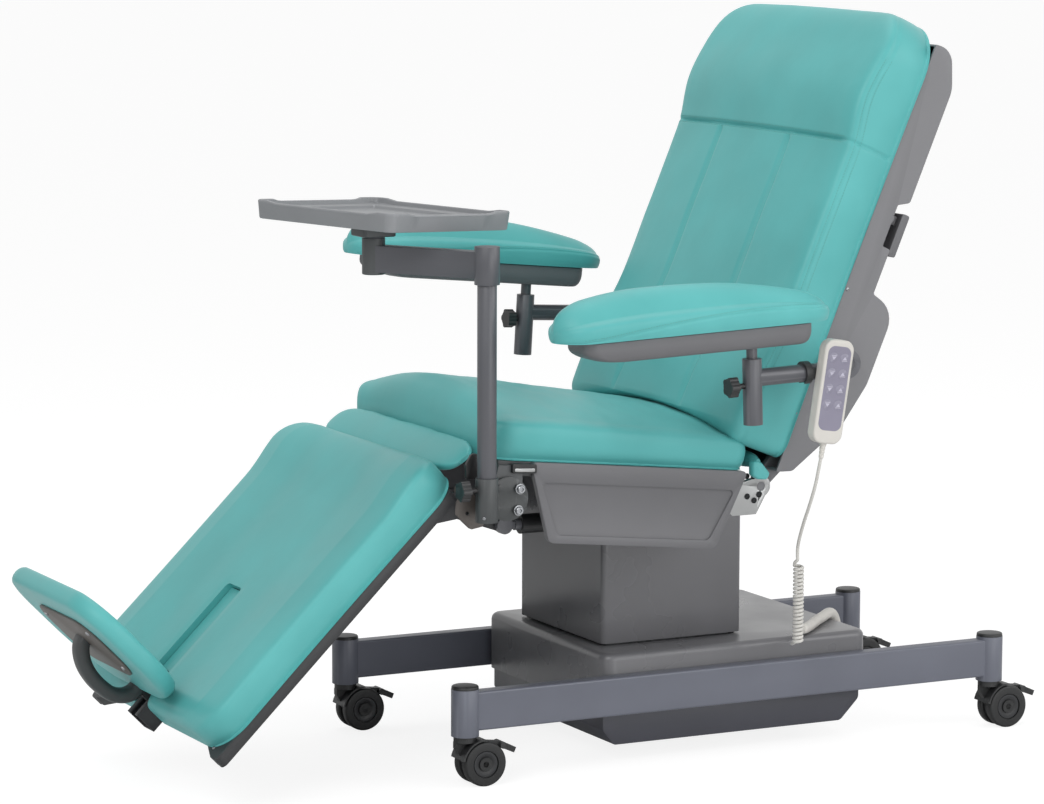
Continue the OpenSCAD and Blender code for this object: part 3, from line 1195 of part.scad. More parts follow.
curl_out = [curl_end + [4, -3, 3], curl_end + [8, -3.5, 8], lead_low - [0, 0, 2 * cord_d],
    lead_low - [0, 0, cord_d], lead_low - [0, 0, air]];
curl_path = concat(curve(tail_points, cord_steps), curl_coil, curl_out);
// The curly cord's least gap to itself, from one turn to the next
curl_gap = min([for (i = [0:curl_count - curl_steps], j = [curl_steps - 2:curl_steps + 2])
    i + j > curl_count ? 2 * curl_d : norm(curl_coil[i] - curl_coil[i + j])]) - cord_d;
echo(curl_gap = curl_gap);
module curly_cord() color(pale) on_base() skin(tube_rings(curl_path, cord_r, 6, [0, 0, 1]));
lead_path = curve(lead_points, cord_steps);
lead_split = 2 * cord_steps;
lead_last = len(lead_path) - 1;
module lead(path) color(pale) on_base() skin(tube_rings(path, cord_r, 8, [1, 0, 0]));
module lead_upper() lead([for (i = [0:lead_split]) lead_path[i]]);
lead_cut = lead_path[lead_split] + 2 * air * unit(lead_path[lead_split + 1] - lead_path[lead_split]);
module lead_lower() lead([for (i = [lead_split:lead_last]) i > lead_split ? lead_path[i] : lead_cut]);
module cord_boot() color(pale) on_base() {
    skin(tube_rings(curve(boot_points, cord_steps), boot_r, 10, [0, 0, 1]));
    gland = boot_points[len(boot_points) - 1];
    translate([gland[0], gland[1], gland[2] - gland_h - seam]) cylinder(h = gland_h, r = gland_r);
    translate([gland[0] - gland_r / 2, cover_y0 + cover_len + seam, gland[2] - gland_h - seam])
        cube([gland_r, gland[1] - cover_y0 - cover_len, gland_h / 2]);
}

side_frame(1);  // side_frame_left
side_frame(-1);  // side_frame_right
post_caps();
base_plate();
base_cover();
base_tub();
lift_column();
cord_boot();
curly_cord();
caster_fork(0);  // caster_fork_1
caster_fork(1);  // caster_fork_2
caster_fork(2);  // caster_fork_3
caster_fork(3);  // caster_fork_4
caster_wheels(0);  // caster_wheels_1
caster_wheels(1);  // caster_wheels_2
caster_wheels(2);  // caster_wheels_3
caster_wheels(3);  // caster_wheels_4
caster_brake(0);  // caster_brake_1
caster_brake(1);  // caster_brake_2
caster_brake(2);  // caster_brake_3
caster_brake(3);  // caster_brake_4
column_sleeve();
seat_frame();
side_panel(1);  // side_panel_left
side_panel(-1);  // side_panel_right
seat_cushion();
knee_flap();
front_hinge(1);  // front_hinge_left
front_hinge(-1);  // front_hinge_right
rear_hinges();
back_actuator();
leg_actuator();
table_socket();
leg_frame();
leg_pad();
leg_rod();
foot_slider();
footboard();
back_shell();
back_cushion();
back_rod();
release_lever();
arm_bracket(1);  // arm_bracket_left
arm_bracket(-1);  // arm_bracket_right
arm_post(1);  // arm_post_left
arm_post(-1);  // arm_post_right
arm_tray(1);  // arm_tray_left
arm_tray(-1);  // arm_tray_right
arm_pad(1);  // arm_pad_left
arm_pad(-1);  // arm_pad_right
arm_knob(1);  // arm_knob_left
arm_knob(-1);  // arm_knob_right
table_mast();
table_arm();
table_tray();
table_knob();
handset_body();
handset_keypad();
lead_upper();
lead_lower();
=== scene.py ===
# Electric treatment recliner: a column lift on casters, vinyl upholstery, a swing tray and a corded handset.
# Sizes are millimetres until makePiece turns them into metres; colours are sRGB hex.
import json
import math

import bmesh
import bpy
import numpy as np
from mathutils import Matrix, Vector, noise
from mathutils.bvhtree import BVHTree


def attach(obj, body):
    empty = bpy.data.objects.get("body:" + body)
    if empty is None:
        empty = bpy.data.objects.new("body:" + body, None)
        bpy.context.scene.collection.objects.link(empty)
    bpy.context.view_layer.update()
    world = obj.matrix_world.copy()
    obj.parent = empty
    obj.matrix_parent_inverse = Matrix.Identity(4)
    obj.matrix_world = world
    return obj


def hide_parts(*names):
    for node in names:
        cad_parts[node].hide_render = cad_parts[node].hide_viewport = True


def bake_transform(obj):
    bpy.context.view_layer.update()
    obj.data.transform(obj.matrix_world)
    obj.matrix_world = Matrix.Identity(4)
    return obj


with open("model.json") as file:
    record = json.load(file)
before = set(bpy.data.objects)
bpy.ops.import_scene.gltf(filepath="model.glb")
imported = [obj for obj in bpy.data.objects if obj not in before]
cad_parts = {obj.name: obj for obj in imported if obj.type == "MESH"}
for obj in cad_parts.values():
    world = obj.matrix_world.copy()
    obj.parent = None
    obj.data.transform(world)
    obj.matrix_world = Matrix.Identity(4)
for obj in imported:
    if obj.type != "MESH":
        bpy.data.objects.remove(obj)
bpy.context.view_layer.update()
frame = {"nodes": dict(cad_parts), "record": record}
nodes = frame["nodes"]
scene = bpy.context.scene
millimetre = 0.001
print("stage: frame loaded,", len(nodes), "nodes")


# Places, as the part's source names them: each is a 4 by 4 matrix in millimetres

def shift(x, y, z):
    place = np.eye(4)
    place[:3, 3] = (x, y, z)
    return place


def turnX(degrees):
    a = math.radians(degrees)
    place = np.eye(4)
    place[1:3, 1:3] = ((math.cos(a), -math.sin(a)), (math.sin(a), math.cos(a)))
    return place


frames = {
    "wheelbaseShift": 292.4, "seatAt": (0, -229, 541), "seatSlope": -6,
    "backAt": (0, 30, 486), "backSlope": -23.2, "legAt": (0, -478, 502.6), "legSlope": 44.3,
    "armPivot": (0, 176, 700), "leftPitch": 2, "rightPitch": -3.2,
    "postHead": (430, -78, 765), "rightPadTilt": -2.3,
}
onBase = shift(0, frames["wheelbaseShift"], 0)
onSeat = onBase @ shift(*frames["seatAt"]) @ turnX(frames["seatSlope"])
onBack = onBase @ shift(*frames["backAt"]) @ turnX(frames["backSlope"])
onLeg = onBase @ shift(*frames["legAt"]) @ turnX(frames["legSlope"]) @ np.diag((1.0, -1.0, 1.0, 1.0))


def onArm(side):
    pitch = frames["leftPitch"] if side > 0 else frames["rightPitch"]
    pivot = frames["armPivot"]
    return (onBase @ shift(*pivot) @ turnX(pitch) @ np.diag((float(side), 1.0, 1.0, 1.0))
            @ shift(*[-v for v in pivot]))


def onPad(side):
    head = frames["postHead"]
    tilt = 0 if side > 0 else frames["rightPadTilt"]
    return onArm(side) @ shift(*head) @ turnX(tilt) @ shift(*[-v for v in head])


def inMetres(place, point):
    # A point of a place, in metres in the shared frame.
    x, y, z = (place @ np.array((*point, 1.0)))[:3] * millimetre
    return (float(x), float(y), float(z))


# Camera and studio

camera = {
    "place": (6421.1, -3559.0, 1619.5), "azimuth": 63.094, "pitch": 7.895, "roll": -0.142,
    "lens": 141.0, "sensor": 36.0,
}


def makeCamera():
    az, down = math.radians(camera["azimuth"]), math.radians(camera["pitch"])
    ahead = Vector((-math.sin(az) * math.cos(down), math.cos(az) * math.cos(down), -math.sin(down)))
    right = Vector((math.cos(az), math.sin(az), 0.0))
    up = right.cross(ahead)
    tilt = Matrix.Rotation(math.radians(camera["roll"]), 3, ahead)
    right, up = tilt @ right, tilt @ up
    data = bpy.data.cameras.new("studioCamera")
    data.lens, data.sensor_width, data.sensor_fit = camera["lens"], camera["sensor"], "HORIZONTAL"
    data.clip_end = 200.0
    body = bpy.data.objects.new("studioCamera", data)
    scene.collection.objects.link(body)
    turned = Matrix((right, up, -ahead)).transposed().to_4x4()
    turned.translation = inMetres(onBase, camera["place"])
    body.matrix_world = turned
    scene.camera = body


def linear(hexColour):
    # An sRGB hex colour as Blender's linear colour.
    parts = [int(hexColour[i:i + 2], 16) / 255 for i in (1, 3, 5)]
    return tuple(c / 12.92 if c <= 0.04045 else ((c + 0.055) / 1.055) ** 2.4 for c in parts) + (1.0,)


def feed(tree, made, links):
    # Each input named in links gets a value or another node's output.
    for socket, source in links.items():
        target = made.inputs[socket]
        if isinstance(source, bpy.types.NodeSocket):
            tree.links.new(source, target)
        else:
            target.default_value = source


def addNode(tree, kind, links=None, **settings):
    # A new node of a kind, with its settings and its inputs.
    made = tree.nodes.new(kind)
    for key, value in settings.items():
        setattr(made, key, value)
    feed(tree, made, links or {})
    return made


def clearTree(owner):
    owner.use_nodes = True
    owner.node_tree.nodes.clear()
    return owner.node_tree


studio = {
    "skyStrength": 0.40, "skyColour": "#ffffff", "floorColour": "#f7f7f7", "floorSize": 120000,
    "floorGlow": 0.7, "glowStrength": 1.22,
    "lamps": (
        # name, place, aim, size, watts
        ("keyLamp", (2600, -3600, 3600), (0, 0, 500), 2600, 92),
        ("topLamp", (-600, 200, 4200), (0, 100, 400), 3000, 42),
        ("sideLamp", (4600, 500, 1200), (0, 100, 600), 2400, 42),
        ("rearLamp", (3400, 3000, 2200), (0, 200, 500), 2400, 50),
    ),
}


def makeStudio():
    world = bpy.data.worlds.new("studioWorld")
    scene.world = world
    tree = clearTree(world)
    path = addNode(tree, "ShaderNodeLightPath")
    seen = addNode(tree, "ShaderNodeMath", {0: path.outputs["Is Camera Ray"],
                                            1: path.outputs["Is Glossy Ray"]}, operation="MAXIMUM")
    soft = addNode(tree, "ShaderNodeBackground", {"Color": linear(studio["skyColour"]),
                                                  "Strength": studio["skyStrength"]})
    plain = addNode(tree, "ShaderNodeBackground", {"Color": linear("#ffffff"), "Strength": 1.0})
    mixed = addNode(tree, "ShaderNodeMixShader", {0: seen.outputs[0], 1: soft.outputs[0],
                                                  2: plain.outputs[0]})
    addNode(tree, "ShaderNodeOutputWorld", {"Surface": mixed.outputs[0]})
    for name, place, aim, size, watts in studio["lamps"]:
        data = bpy.data.lights.new(name, "AREA")
        data.shape, data.size, data.energy = "SQUARE", size * millimetre, watts
        lamp = bpy.data.objects.new(name, data)
        scene.collection.objects.link(lamp)
        lamp.location = inMetres(onBase, place)
        ray = Vector(inMetres(onBase, aim)) - lamp.location
        lamp.rotation_euler = ray.to_track_quat("-Z", "Y").to_euler()
    material = bpy.data.materials.new("paperSweep")
    tree = clearTree(material)
    path = addNode(tree, "ShaderNodeLightPath")
    paper = addNode(tree, "ShaderNodeBsdfDiffuse", {"Color": linear(studio["floorColour"])})
    glow = addNode(tree, "ShaderNodeEmission", {"Color": linear("#ffffff"),
                                               "Strength": studio["glowStrength"]})
    share = addNode(tree, "ShaderNodeMath", {0: path.outputs["Is Camera Ray"], 1: studio["floorGlow"]},
                    operation="MULTIPLY")
    mixed = addNode(tree, "ShaderNodeMixShader", {0: share.outputs[0], 1: paper.outputs[0],
                                                  2: glow.outputs[0]})
    addNode(tree, "ShaderNodeOutputMaterial", {"Surface": mixed.outputs[0]})
    half = studio["floorSize"] / 2 * millimetre
    mesh = bpy.data.meshes.new("studioFloor")
    mesh.from_pydata([(-half, -half, 0), (half, -half, 0), (half, half, 0), (-half, half, 0)], [],
                     [(0, 1, 2, 3)])
    floor = bpy.data.objects.new("studioFloor", mesh)
    floor.data.materials.append(material)
    scene.collection.objects.link(floor)


scene.view_settings.view_transform = "Standard"
makeCamera()
makeStudio()
print("stage: camera and studio made")


# Materials

def startMaterial(name):
    # A material with its surface shader, its output and its object coordinates.
    material = bpy.data.materials.new(name)
    tree = clearTree(material)
    surface = addNode(tree, "ShaderNodeBsdfPrincipled")
    addNode(tree, "ShaderNodeOutputMaterial", {"Surface": surface.outputs[0]})
    place = addNode(tree, "ShaderNodeTexCoord").outputs["Object"]
    return material, tree, surface, place


# Polyvinyl chloride coated upholstery fabric, calendered with a fine leather grain: a soft broad sheen
vinyl = {
    "tones": ((0.3, "#57acab"), (0.5, "#5cb2b1"), (0.7, "#61b8b7")), "patch": 0.16,
    "grain": 0.0011, "grainDepth": 0.00012, "grainStrength": 0.35, "pull": 0.045, "pullDepth": 0.0009,
    "pullStrength": 0.5, "gloss": (0.36, 0.48), "ior": 1.48, "specular": 0.34, "sheen": 0.05,
    "sheenRough": 0.4,
}


def upholsteryVinyl():
    material, tree, surface, place = startMaterial("upholsteryVinyl")
    patch = addNode(tree, "ShaderNodeTexNoise", {"Vector": place, "Scale": 1 / vinyl["patch"],
                                                 "Detail": 3.0})
    tone = addNode(tree, "ShaderNodeValToRGB", {"Fac": patch.outputs["Fac"]})
    tone.color_ramp.elements.new(0.5)
    for stop, (at, colour) in zip(tone.color_ramp.elements, vinyl["tones"]):
        stop.position, stop.color = at, linear(colour)
    cells = addNode(tree, "ShaderNodeTexVoronoi", {"Vector": place, "Scale": 1 / vinyl["grain"],
                                                   "Randomness": 0.9}, feature="DISTANCE_TO_EDGE")
    pulls = addNode(tree, "ShaderNodeTexNoise", {"Vector": place, "Scale": 1 / vinyl["pull"],
                                                 "Detail": 2.0, "Distortion": 0.4})
    grainBump = addNode(tree, "ShaderNodeBump", {
        "Height": cells.outputs["Distance"], "Strength": vinyl["grainStrength"],
        "Distance": vinyl["grainDepth"]})
    pullBump = addNode(tree, "ShaderNodeBump", {
        "Height": pulls.outputs["Fac"], "Strength": vinyl["pullStrength"],
        "Distance": vinyl["pullDepth"], "Normal": grainBump.outputs[0]})
    wear = addNode(tree, "ShaderNodeMapRange", {
        "Value": patch.outputs["Fac"], "From Min": vinyl["tones"][0][0], "From Max": vinyl["tones"][-1][0],
        "To Min": vinyl["gloss"][0], "To Max": vinyl["gloss"][1]})
    feed(tree, surface, {
        "Base Color": tone.outputs[0], "Roughness": wear.outputs[0], "Normal": pullBump.outputs[0],
        "IOR": vinyl["ior"], "Specular IOR Level": vinyl["specular"], "Sheen Weight": vinyl["sheen"],
        "Sheen Roughness": vinyl["sheenRough"]})
    return material


# What every grained finish shares: drift is soft patches a metre, the pairs are ranges of what feeds them
# Its Pointiness range and share set the painted highlight that pales convex edges.
grained = {
    "drift": 9.0, "fineRough": 0.6, "edgeHighlight": (0.53, 0.62), "edgeHighlightShare": 0.6, "patch": (0.25, 0.75),
    "patchShare": 0.5, "patchLift": 1.16, "relief": 0.4, "glossFrom": (0.2, 0.8), "glossTo": (-0.05, 0.06),
}


def grainedFinish(name, colour, edge, grain, depth, gloss, metallic=0.0):
    # Powder coat and moulded plastic: a fine orange peel, a painted highlight on convex edges, and softly
    # uneven gloss.
    g = grained
    material, tree, surface, place = startMaterial(name)
    drift = addNode(tree, "ShaderNodeTexNoise", {"Vector": place, "Scale": g["drift"], "Detail": 3.0})
    fine = addNode(tree, "ShaderNodeTexNoise", {"Vector": place, "Scale": 1 / grain, "Detail": 2.0,
                                                "Roughness": g["fineRough"]})
    # Convex edges are mixed towards the paler edge colour: a painted highlight.
    convexity = addNode(tree, "ShaderNodeNewGeometry")
    edgeHighlight = addNode(tree, "ShaderNodeMapRange", {
        "Value": convexity.outputs["Pointiness"], "From Min": g["edgeHighlight"][0], "From Max": g["edgeHighlight"][1],
        "To Max": g["edgeHighlightShare"]})
    patches = addNode(tree, "ShaderNodeMapRange", {
        "Value": drift.outputs["Fac"], "From Min": g["patch"][0], "From Max": g["patch"][1],
        "To Max": g["patchShare"]}, interpolation_type="SMOOTHSTEP")
    ground = linear(colour)
    pale = tuple(min(1.0, c * g["patchLift"]) for c in ground[:3]) + (1.0,)
    mixed = addNode(tree, "ShaderNodeMix", {"Factor": patches.outputs[0], "A": ground, "B": pale},
                    data_type="RGBA")
    coloured = addNode(tree, "ShaderNodeMix", {
        "Factor": edgeHighlight.outputs[0], "A": mixed.outputs["Result"], "B": linear(edge)}, data_type="RGBA")
    relief = addNode(tree, "ShaderNodeBump", {"Height": fine.outputs["Fac"], "Strength": g["relief"],
                                              "Distance": depth})
    rough = addNode(tree, "ShaderNodeMapRange", {
        "Value": drift.outputs["Fac"], "From Min": g["glossFrom"][0], "From Max": g["glossFrom"][1],
        "To Min": gloss + g["glossTo"][0], "To Max": gloss + g["glossTo"][1]},
        interpolation_type="SMOOTHSTEP")
    feed(tree, surface, {"Base Color": coloured.outputs["Result"], "Roughness": rough.outputs[0],
                         "Normal": relief.outputs[0], "Metallic": metallic})
    return material


# Ground and plated steel; its rings are far coarser than real grinding so that they show
rodSteel = {"colour": "#b9babd", "rings": 260.0, "ripple": 1.5, "relief": 0.2, "depth": 0.0001,
            "gloss": (0.22, 0.36)}


def groundRod():
    material, tree, surface, place = startMaterial("groundSteel")
    lines = addNode(tree, "ShaderNodeTexWave", {
        "Vector": place, "Scale": rodSteel["rings"], "Distortion": rodSteel["ripple"], "Detail": 2.0},
        bands_direction="Y")
    relief = addNode(tree, "ShaderNodeBump", {
        "Height": lines.outputs["Fac"], "Strength": rodSteel["relief"], "Distance": rodSteel["depth"]})
    rough = addNode(tree, "ShaderNodeMapRange", {
        "Value": lines.outputs["Fac"], "To Min": rodSteel["gloss"][0], "To Max": rodSteel["gloss"][1]})
    feed(tree, surface, {"Roughness": rough.outputs[0], "Normal": relief.outputs[0],
                         "Base Color": linear(rodSteel["colour"]), "Metallic": 1.0})
    return material


# Each finish is named for the real material: colour, painted edge highlight colour, grain size in metres,
# grain depth, gloss
finishes = {
    "base_paint": grainedFinish("powderCoatGrey", "#626570", "#7e818b", 0.0012, 0.00010, 0.42),
    "moulded_grey": grainedFinish("mouldedPanelGrey", "#656568", "#7e7e81", 0.0010, 0.00012, 0.5),
    "dark_paint": grainedFinish("powderCoatGraphite", "#3e4142", "#5d6062", 0.0012, 0.00010, 0.44),
    "dark_plastic": grainedFinish("mouldedNylonBlack", "#1b1c1d", "#3a3b3c", 0.0009, 0.00009, 0.46),
    "tread": grainedFinish("casterTreadBlack", "#141516", "#333435", 0.0014, 0.00012, 0.52),
    "leg_board": grainedFinish("mouldedLegBoardBlack", "#2a2b2d", "#424446", 0.0012, 0.00012, 0.5),
    "grey_steel": grainedFinish("powderCoatMidGrey", "#505156", "#6b6c71", 0.0012, 0.00009, 0.36),
    "bright_rod": groundRod(),
    "pale_plastic": grainedFinish("mouldedHandsetGrey", "#cbc8c2", "#dedbd6", 0.0008, 0.00007, 0.4),
    "key_film": grainedFinish("embossedKeyFilm", "#827f90", "#9795a5", 0.0007, 0.00006, 0.34),
    "cord_sheath": grainedFinish("cordSheathGrey", "#c9c7c2", "#d6d4cf", 0.0012, 0.00006, 0.38),
    "vinyl": upholsteryVinyl(),
}
accents = {
    "thread": grainedFinish("bondedThreadTeal", "#4f948f", "#5fa5a0", 0.0006, 0.00008, 0.6),
    "zincScrew": grainedFinish("zincPlatedScrew", "#8f9194", "#b4b6b9", 0.0011, 0.00005, 0.3, 1.0),
    "blackScrew": grainedFinish("blackOxideScrew", "#1b1c1d", "#34363a", 0.0010, 0.00005, 0.38, 0.6),
    "tubGrey": grainedFinish("mouldedTubGrey", "#404149", "#5a5b63", 0.0012, 0.00010, 0.38),
    "shellGrey": grainedFinish("mouldedBackShellGrey", "#69696c", "#838386", 0.0010, 0.00012, 0.5),
    "coverGrey": grainedFinish("mouldedCoverGrey", "#646467", "#858588", 0.0014, 0.00007, 0.3),
    "trayGrey": grainedFinish("mouldedTrayGrey", "#828487", "#9d9fa2", 0.0011, 0.00009, 0.42),
    "zincPlate": grainedFinish("zincPlatedSteel", "#a3a4a4", "#c0c1c1", 0.0013, 0.00007, 0.34, 0.7),
    "hubGrey": grainedFinish("mouldedHubGrey", "#1b1c1e", "#323438", 0.0010, 0.00008, 0.42),
    "brownPlate": grainedFinish("castPlateBrown", "#55504c", "#6d6762", 0.0016, 0.00014, 0.5),
    "keyInk": grainedFinish("keyInkGrey", "#aba8ba", "#c0bdcb", 0.0009, 0.00004, 0.4),
}
print("stage: materials made")


# Mesh helpers

def makePiece(name, points, faces, place, material, sharp=40):
    # A mesh object at the origin; its edges that turn by more than sharp degrees stay crisp.
    flat = np.c_[np.asarray(points, float), np.ones(len(points))] @ place.T
    mesh = bpy.data.meshes.new(name)
    mesh.from_pydata((flat[:, :3] * millimetre).tolist(), [], [tuple(f) for f in faces])
    shape = bmesh.new()
    shape.from_mesh(mesh)
    bmesh.ops.remove_doubles(shape, verts=shape.verts, dist=1e-6)
    bmesh.ops.recalc_face_normals(shape, faces=shape.faces)
    shape.to_mesh(mesh)
    shape.free()
    mesh.shade_smooth()
    mesh.set_sharp_from_angle(angle=math.radians(sharp))
    piece = bpy.data.objects.new(name, mesh)
    piece.data.materials.append(material)
    scene.collection.objects.link(piece)
    return piece


def joinShapes(shapes):
    # Several (points, faces) pairs as one.
    points, faces = [], []
    for more, their in shapes:
        base = len(points)
        points += [tuple(p) for p in more]
        faces += [tuple(base + i for i in f) for f in their]
    return points, faces


def skinRings(rings):
    # Closed rings of equal length joined into a skin, with a fan at each end.
    n = len(rings[0])
    points = [tuple(p) for ring in rings for p in ring]
    faces = [(i * n + k, (i + 1) * n + k, (i + 1) * n + (k + 1) % n, i * n + (k + 1) % n)
             for i in range(len(rings) - 1) for k in range(n)]
    for ring, base, flip in ((rings[0], 0, False), (rings[-1], (len(rings) - 1) * n, True)):
        middle = len(points)
        points.append(tuple(np.mean(ring, axis=0)))
        faces += [(middle, base + k, base + (k + 1) % n)[::-1 if flip else 1] for k in range(n)]
    return points, faces


def easedBetween(points, steps):
    # A smooth curve from the second of the chosen points to the last but one, without its end.
    found = []
    for i in range(1, len(points) - 2):
        a, b, c, d = points[i - 1:i + 3]
        for f in (j / steps for j in range(steps)):
            found.append(0.5 * (2 * b + f * (c - a) + f * f * (2 * a - 5 * b + 4 * c - d)
                                + f ** 3 * (3 * b - a - 3 * c + d)))
    return found


def spline(points, steps):
    # A smooth curve through chosen points, as the part's source draws its cords.
    p = [np.array(q, float) for q in points]
    return easedBetween([2 * p[0] - p[1]] + p + [2 * p[-1] - p[-2]], steps) + [p[-1]]


def fullTurn(count):
    return [2 * math.pi * j / count for j in range(count)]


def heading(path, i):
    # The way that a path runs at one of its points.
    along = path[min(i + 1, len(path) - 1)] - path[max(i - 1, 0)]
    return along / np.linalg.norm(along)


def tubeRings(path, radii, sides):
    rings, side = [], np.array((0.0, 0.0, 1.0))
    for i, (q, r) in enumerate(zip(path, radii)):
        along = heading(path, i)
        side = side - (side @ along) * along
        side /= np.linalg.norm(side)
        other = np.cross(along, side)
        rings.append([q + r * (math.cos(t) * side + math.sin(t) * other) for t in fullTurn(sides)])
    return rings


def lathe(profile, at, axis, sides=28):
    # A turned shape: profile is (radius, height) pairs from one end to the other.
    axis = np.array(axis, float) / np.linalg.norm(axis)
    side = np.cross(axis, (0.0, 0.0, 1.0) if abs(axis[2]) < 0.9 else (1.0, 0.0, 0.0))
    side /= np.linalg.norm(side)
    other = np.cross(axis, side)
    return skinRings([[np.array(at, float) + h * axis
                       + r * (math.cos(t) * side + math.sin(t) * other) for t in fullTurn(sides)]
                      for r, h in profile])


def roundedOutline(points, radii, steps=6):
    # A flat outline whose corners are rounded to their own radii.
    found = []
    for i, r in enumerate(radii):
        a, b, c = (np.array(points[j % len(points)], float) for j in (i - 1, i, i + 1))
        if r == 0:
            found.append(b)
            continue
        u, v = (a - b) / np.linalg.norm(a - b), (c - b) / np.linalg.norm(c - b)
        half = math.acos(np.clip(u @ v, -1, 1)) / 2
        centre = b + (u + v) / np.linalg.norm(u + v) * r / math.sin(half)
        s, e = b + u * r / math.tan(half) - centre, b + v * r / math.tan(half) - centre
        a0 = math.atan2(s[1], s[0])
        sweep = (math.atan2(e[1], e[0]) - a0 + math.pi) % (2 * math.pi) - math.pi
        found += [centre + r * np.array((math.cos(a0 + sweep * k / steps), math.sin(a0 + sweep * k / steps)))
                  for k in range(steps + 1)]
    return found


def roundedBox(half, low, high, corner, steps=6):
    # A rectangle with rounded corners: half its width to each side, from low to high.
    radii = corner if hasattr(corner, "__len__") else [corner] * 4
    return roundedOutline([(half, low), (half, high), (-half, high), (-half, low)], radii, steps)


def plateX(outline, x0, x1, edge=0.8):
    # A plate across X with a small round on both its rims.
    ring = np.array(outline, float)
    centre = ring.mean(axis=0)
    away = ring - centre
    reach = np.linalg.norm(away, axis=1, keepdims=True)
    bevel = edge * 0.3
    rings = []
    for x, inset in ((x0, edge), (x0 + bevel, bevel), (x0 + edge, 0), (x1 - edge, 0), (x1 - bevel, bevel),
                     (x1, edge)):
        drawn = centre + away * (1 - inset / np.maximum(reach, inset + 0.01))
        rings.append([(x, y, z) for y, z in drawn])
    return skinRings(rings)


def dress(piece, body, slot, stands=None):
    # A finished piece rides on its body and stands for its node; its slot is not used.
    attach(piece, body)
    if stands:
        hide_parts(stands)
    return piece


def addPiece(name, shape, place, material, sharp, body, slot, stands=None):
    return dress(makePiece(name, *shape, place, material, sharp), body, slot, stands)


# Cord: one lead from the gland behind the cover to the handset, in three lengths that meet end to end

cord = {
    "diameter": 6, "steps": 4, "riseSteps": 3,
    "tail": ((240, 140, 213), (252, 129, 208), (270, 112, 204), (290, 95, 203), (310, 78, 206)),
    "coilAt": (335, 75, 214), "coilOut": 20, "turns": 20, "pitch": 6.8, "startTurn": 240, "perTurn": 16,
    "lead": ((458.5, 43, 560), (456, 41, 544), (442, 43, 512), (418, 47, 475), (387, 54, 438),
             (361, 61, 406), (347, 66, 388), (344, 67, 379), (344, 67, 374)),
    "riseOut": ((4, -3, 3), (8, -3.5, 8)), "splitAt": 2, "coilSides": 10, "leadSides": 14,
}


def coilPoints():
    x, y, z = cord["coilAt"]
    r = (cord["coilOut"] - cord["diameter"]) / 2
    count = cord["turns"] * cord["perTurn"]
    turns = [(i, math.radians(cord["startTurn"] + 360 * i / cord["perTurn"])) for i in range(count + 1)]
    return [np.array((x + r * math.cos(a), y + r * math.sin(a), z + cord["pitch"] * i / cord["perTurn"]))
            for i, a in turns]


def makeCords():
    coil = coilPoints()
    top, low = coil[-1], np.array(cord["lead"][-1], float)
    step = np.array((0, 0, cord["diameter"]))
    out = [top + offset for offset in cord["riseOut"]]
    rise = spline([top, *out, low - 2 * step, low - step, low], cord["riseSteps"])
    tail = spline([*cord["tail"], tuple(coil[0])], cord["steps"])
    leadPath = spline(cord["lead"], cord["steps"])
    cut = cord["splitAt"] * cord["steps"]
    runs = (("curlyCord", tail[:-1] + coil + rise[1:], "base", "seat", "curly_cord", "coiled", "coilSides"),
            ("leadLower", leadPath[cut:][::-1], "seat", "back", "lead_lower", "hanging", "leadSides"),
            ("leadUpper", leadPath[:cut + 1][::-1], "back", "arm_left", "lead_upper", "hanging", "leadSides"))
    for name, path, body, far, node, lay, sides in runs:
        rings = tubeRings(path, [cord["diameter"] / 2] * len(path), cord[sides])
        piece = makePiece(name, *skinRings(rings), onBase, finishes["cord_sheath"], 60)
        line = [Vector(inMetres(onBase, q)) for q in path]
        length = sum((b - a).length for a, b in zip(line, line[1:]))
        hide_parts(node)
        first, last = inMetres(onBase, path[0]), inMetres(onBase, path[-1])
        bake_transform(piece)
        print("stage:", name, "is", round(length, 3), "m long")


makeCords()

# CAD nodes that keep their shape: welded, softly edged and given their finish

softEdges = {
    "side_frame_left": 0.8, "side_frame_right": 0.8, "column_sleeve": 1.2, "side_panel_left": 1.2,
    "side_panel_right": 1.2, "table_arm": 1.2, "table_mast": 1.0, "release_lever": 1.0, "leg_frame": 0.8,
    "arm_bracket_left": 0.6, "arm_bracket_right": 0.6, "rear_hinges": 0.8, "table_socket": 0.6,
    "base_tub": 1.5, "base_plate": 0.8, "seat_frame": 0.8,
}
nodeEdges = {"weld": 0.02, "softTurn": 38, "sharpTurn": 32}  # millimetres and degrees
ownFinishes = {
    "rear_hinges": accents["zincPlate"], "leg_rod": finishes["grey_steel"],
    "back_rod": finishes["grey_steel"], "base_tub": accents["tubGrey"], "base_cover": accents["coverGrey"],
    "column_sleeve": accents["coverGrey"], "back_shell": accents["shellGrey"],
}


def dressNodes():
    for part in frame["record"]["subparts"]:
        node = nodes[part["node"]]
        node.data.materials.clear()
        node.data.materials.append(ownFinishes.get(part["node"], finishes[part["material_slot"]]))
        node.data.shade_smooth()
        weld = node.modifiers.new("weldFacets", "WELD")
        weld.merge_threshold = nodeEdges["weld"] * millimetre
        width = softEdges.get(part["node"])
        if width:
            edge = node.modifiers.new("softEdge", "BEVEL")
            edge.width, edge.segments, edge.limit_method = width * millimetre, 2, "ANGLE"
            edge.angle_limit, edge.harden_normals = math.radians(nodeEdges["softTurn"]), True
        else:
            split = node.modifiers.new("sharpFolds", "EDGE_SPLIT")
            split.split_angle = math.radians(nodeEdges["sharpTurn"])


dressNodes()
print("stage: nodes dressed")

# Upholstery: rings across X at stations along the length, as in the part's source but finer

bothSides = ((1, "left"), (-1, "right"))
endShape = {"kept": 0.42, "turns": np.linspace(86, 4, 12)}  # share of height left, and stations in degrees


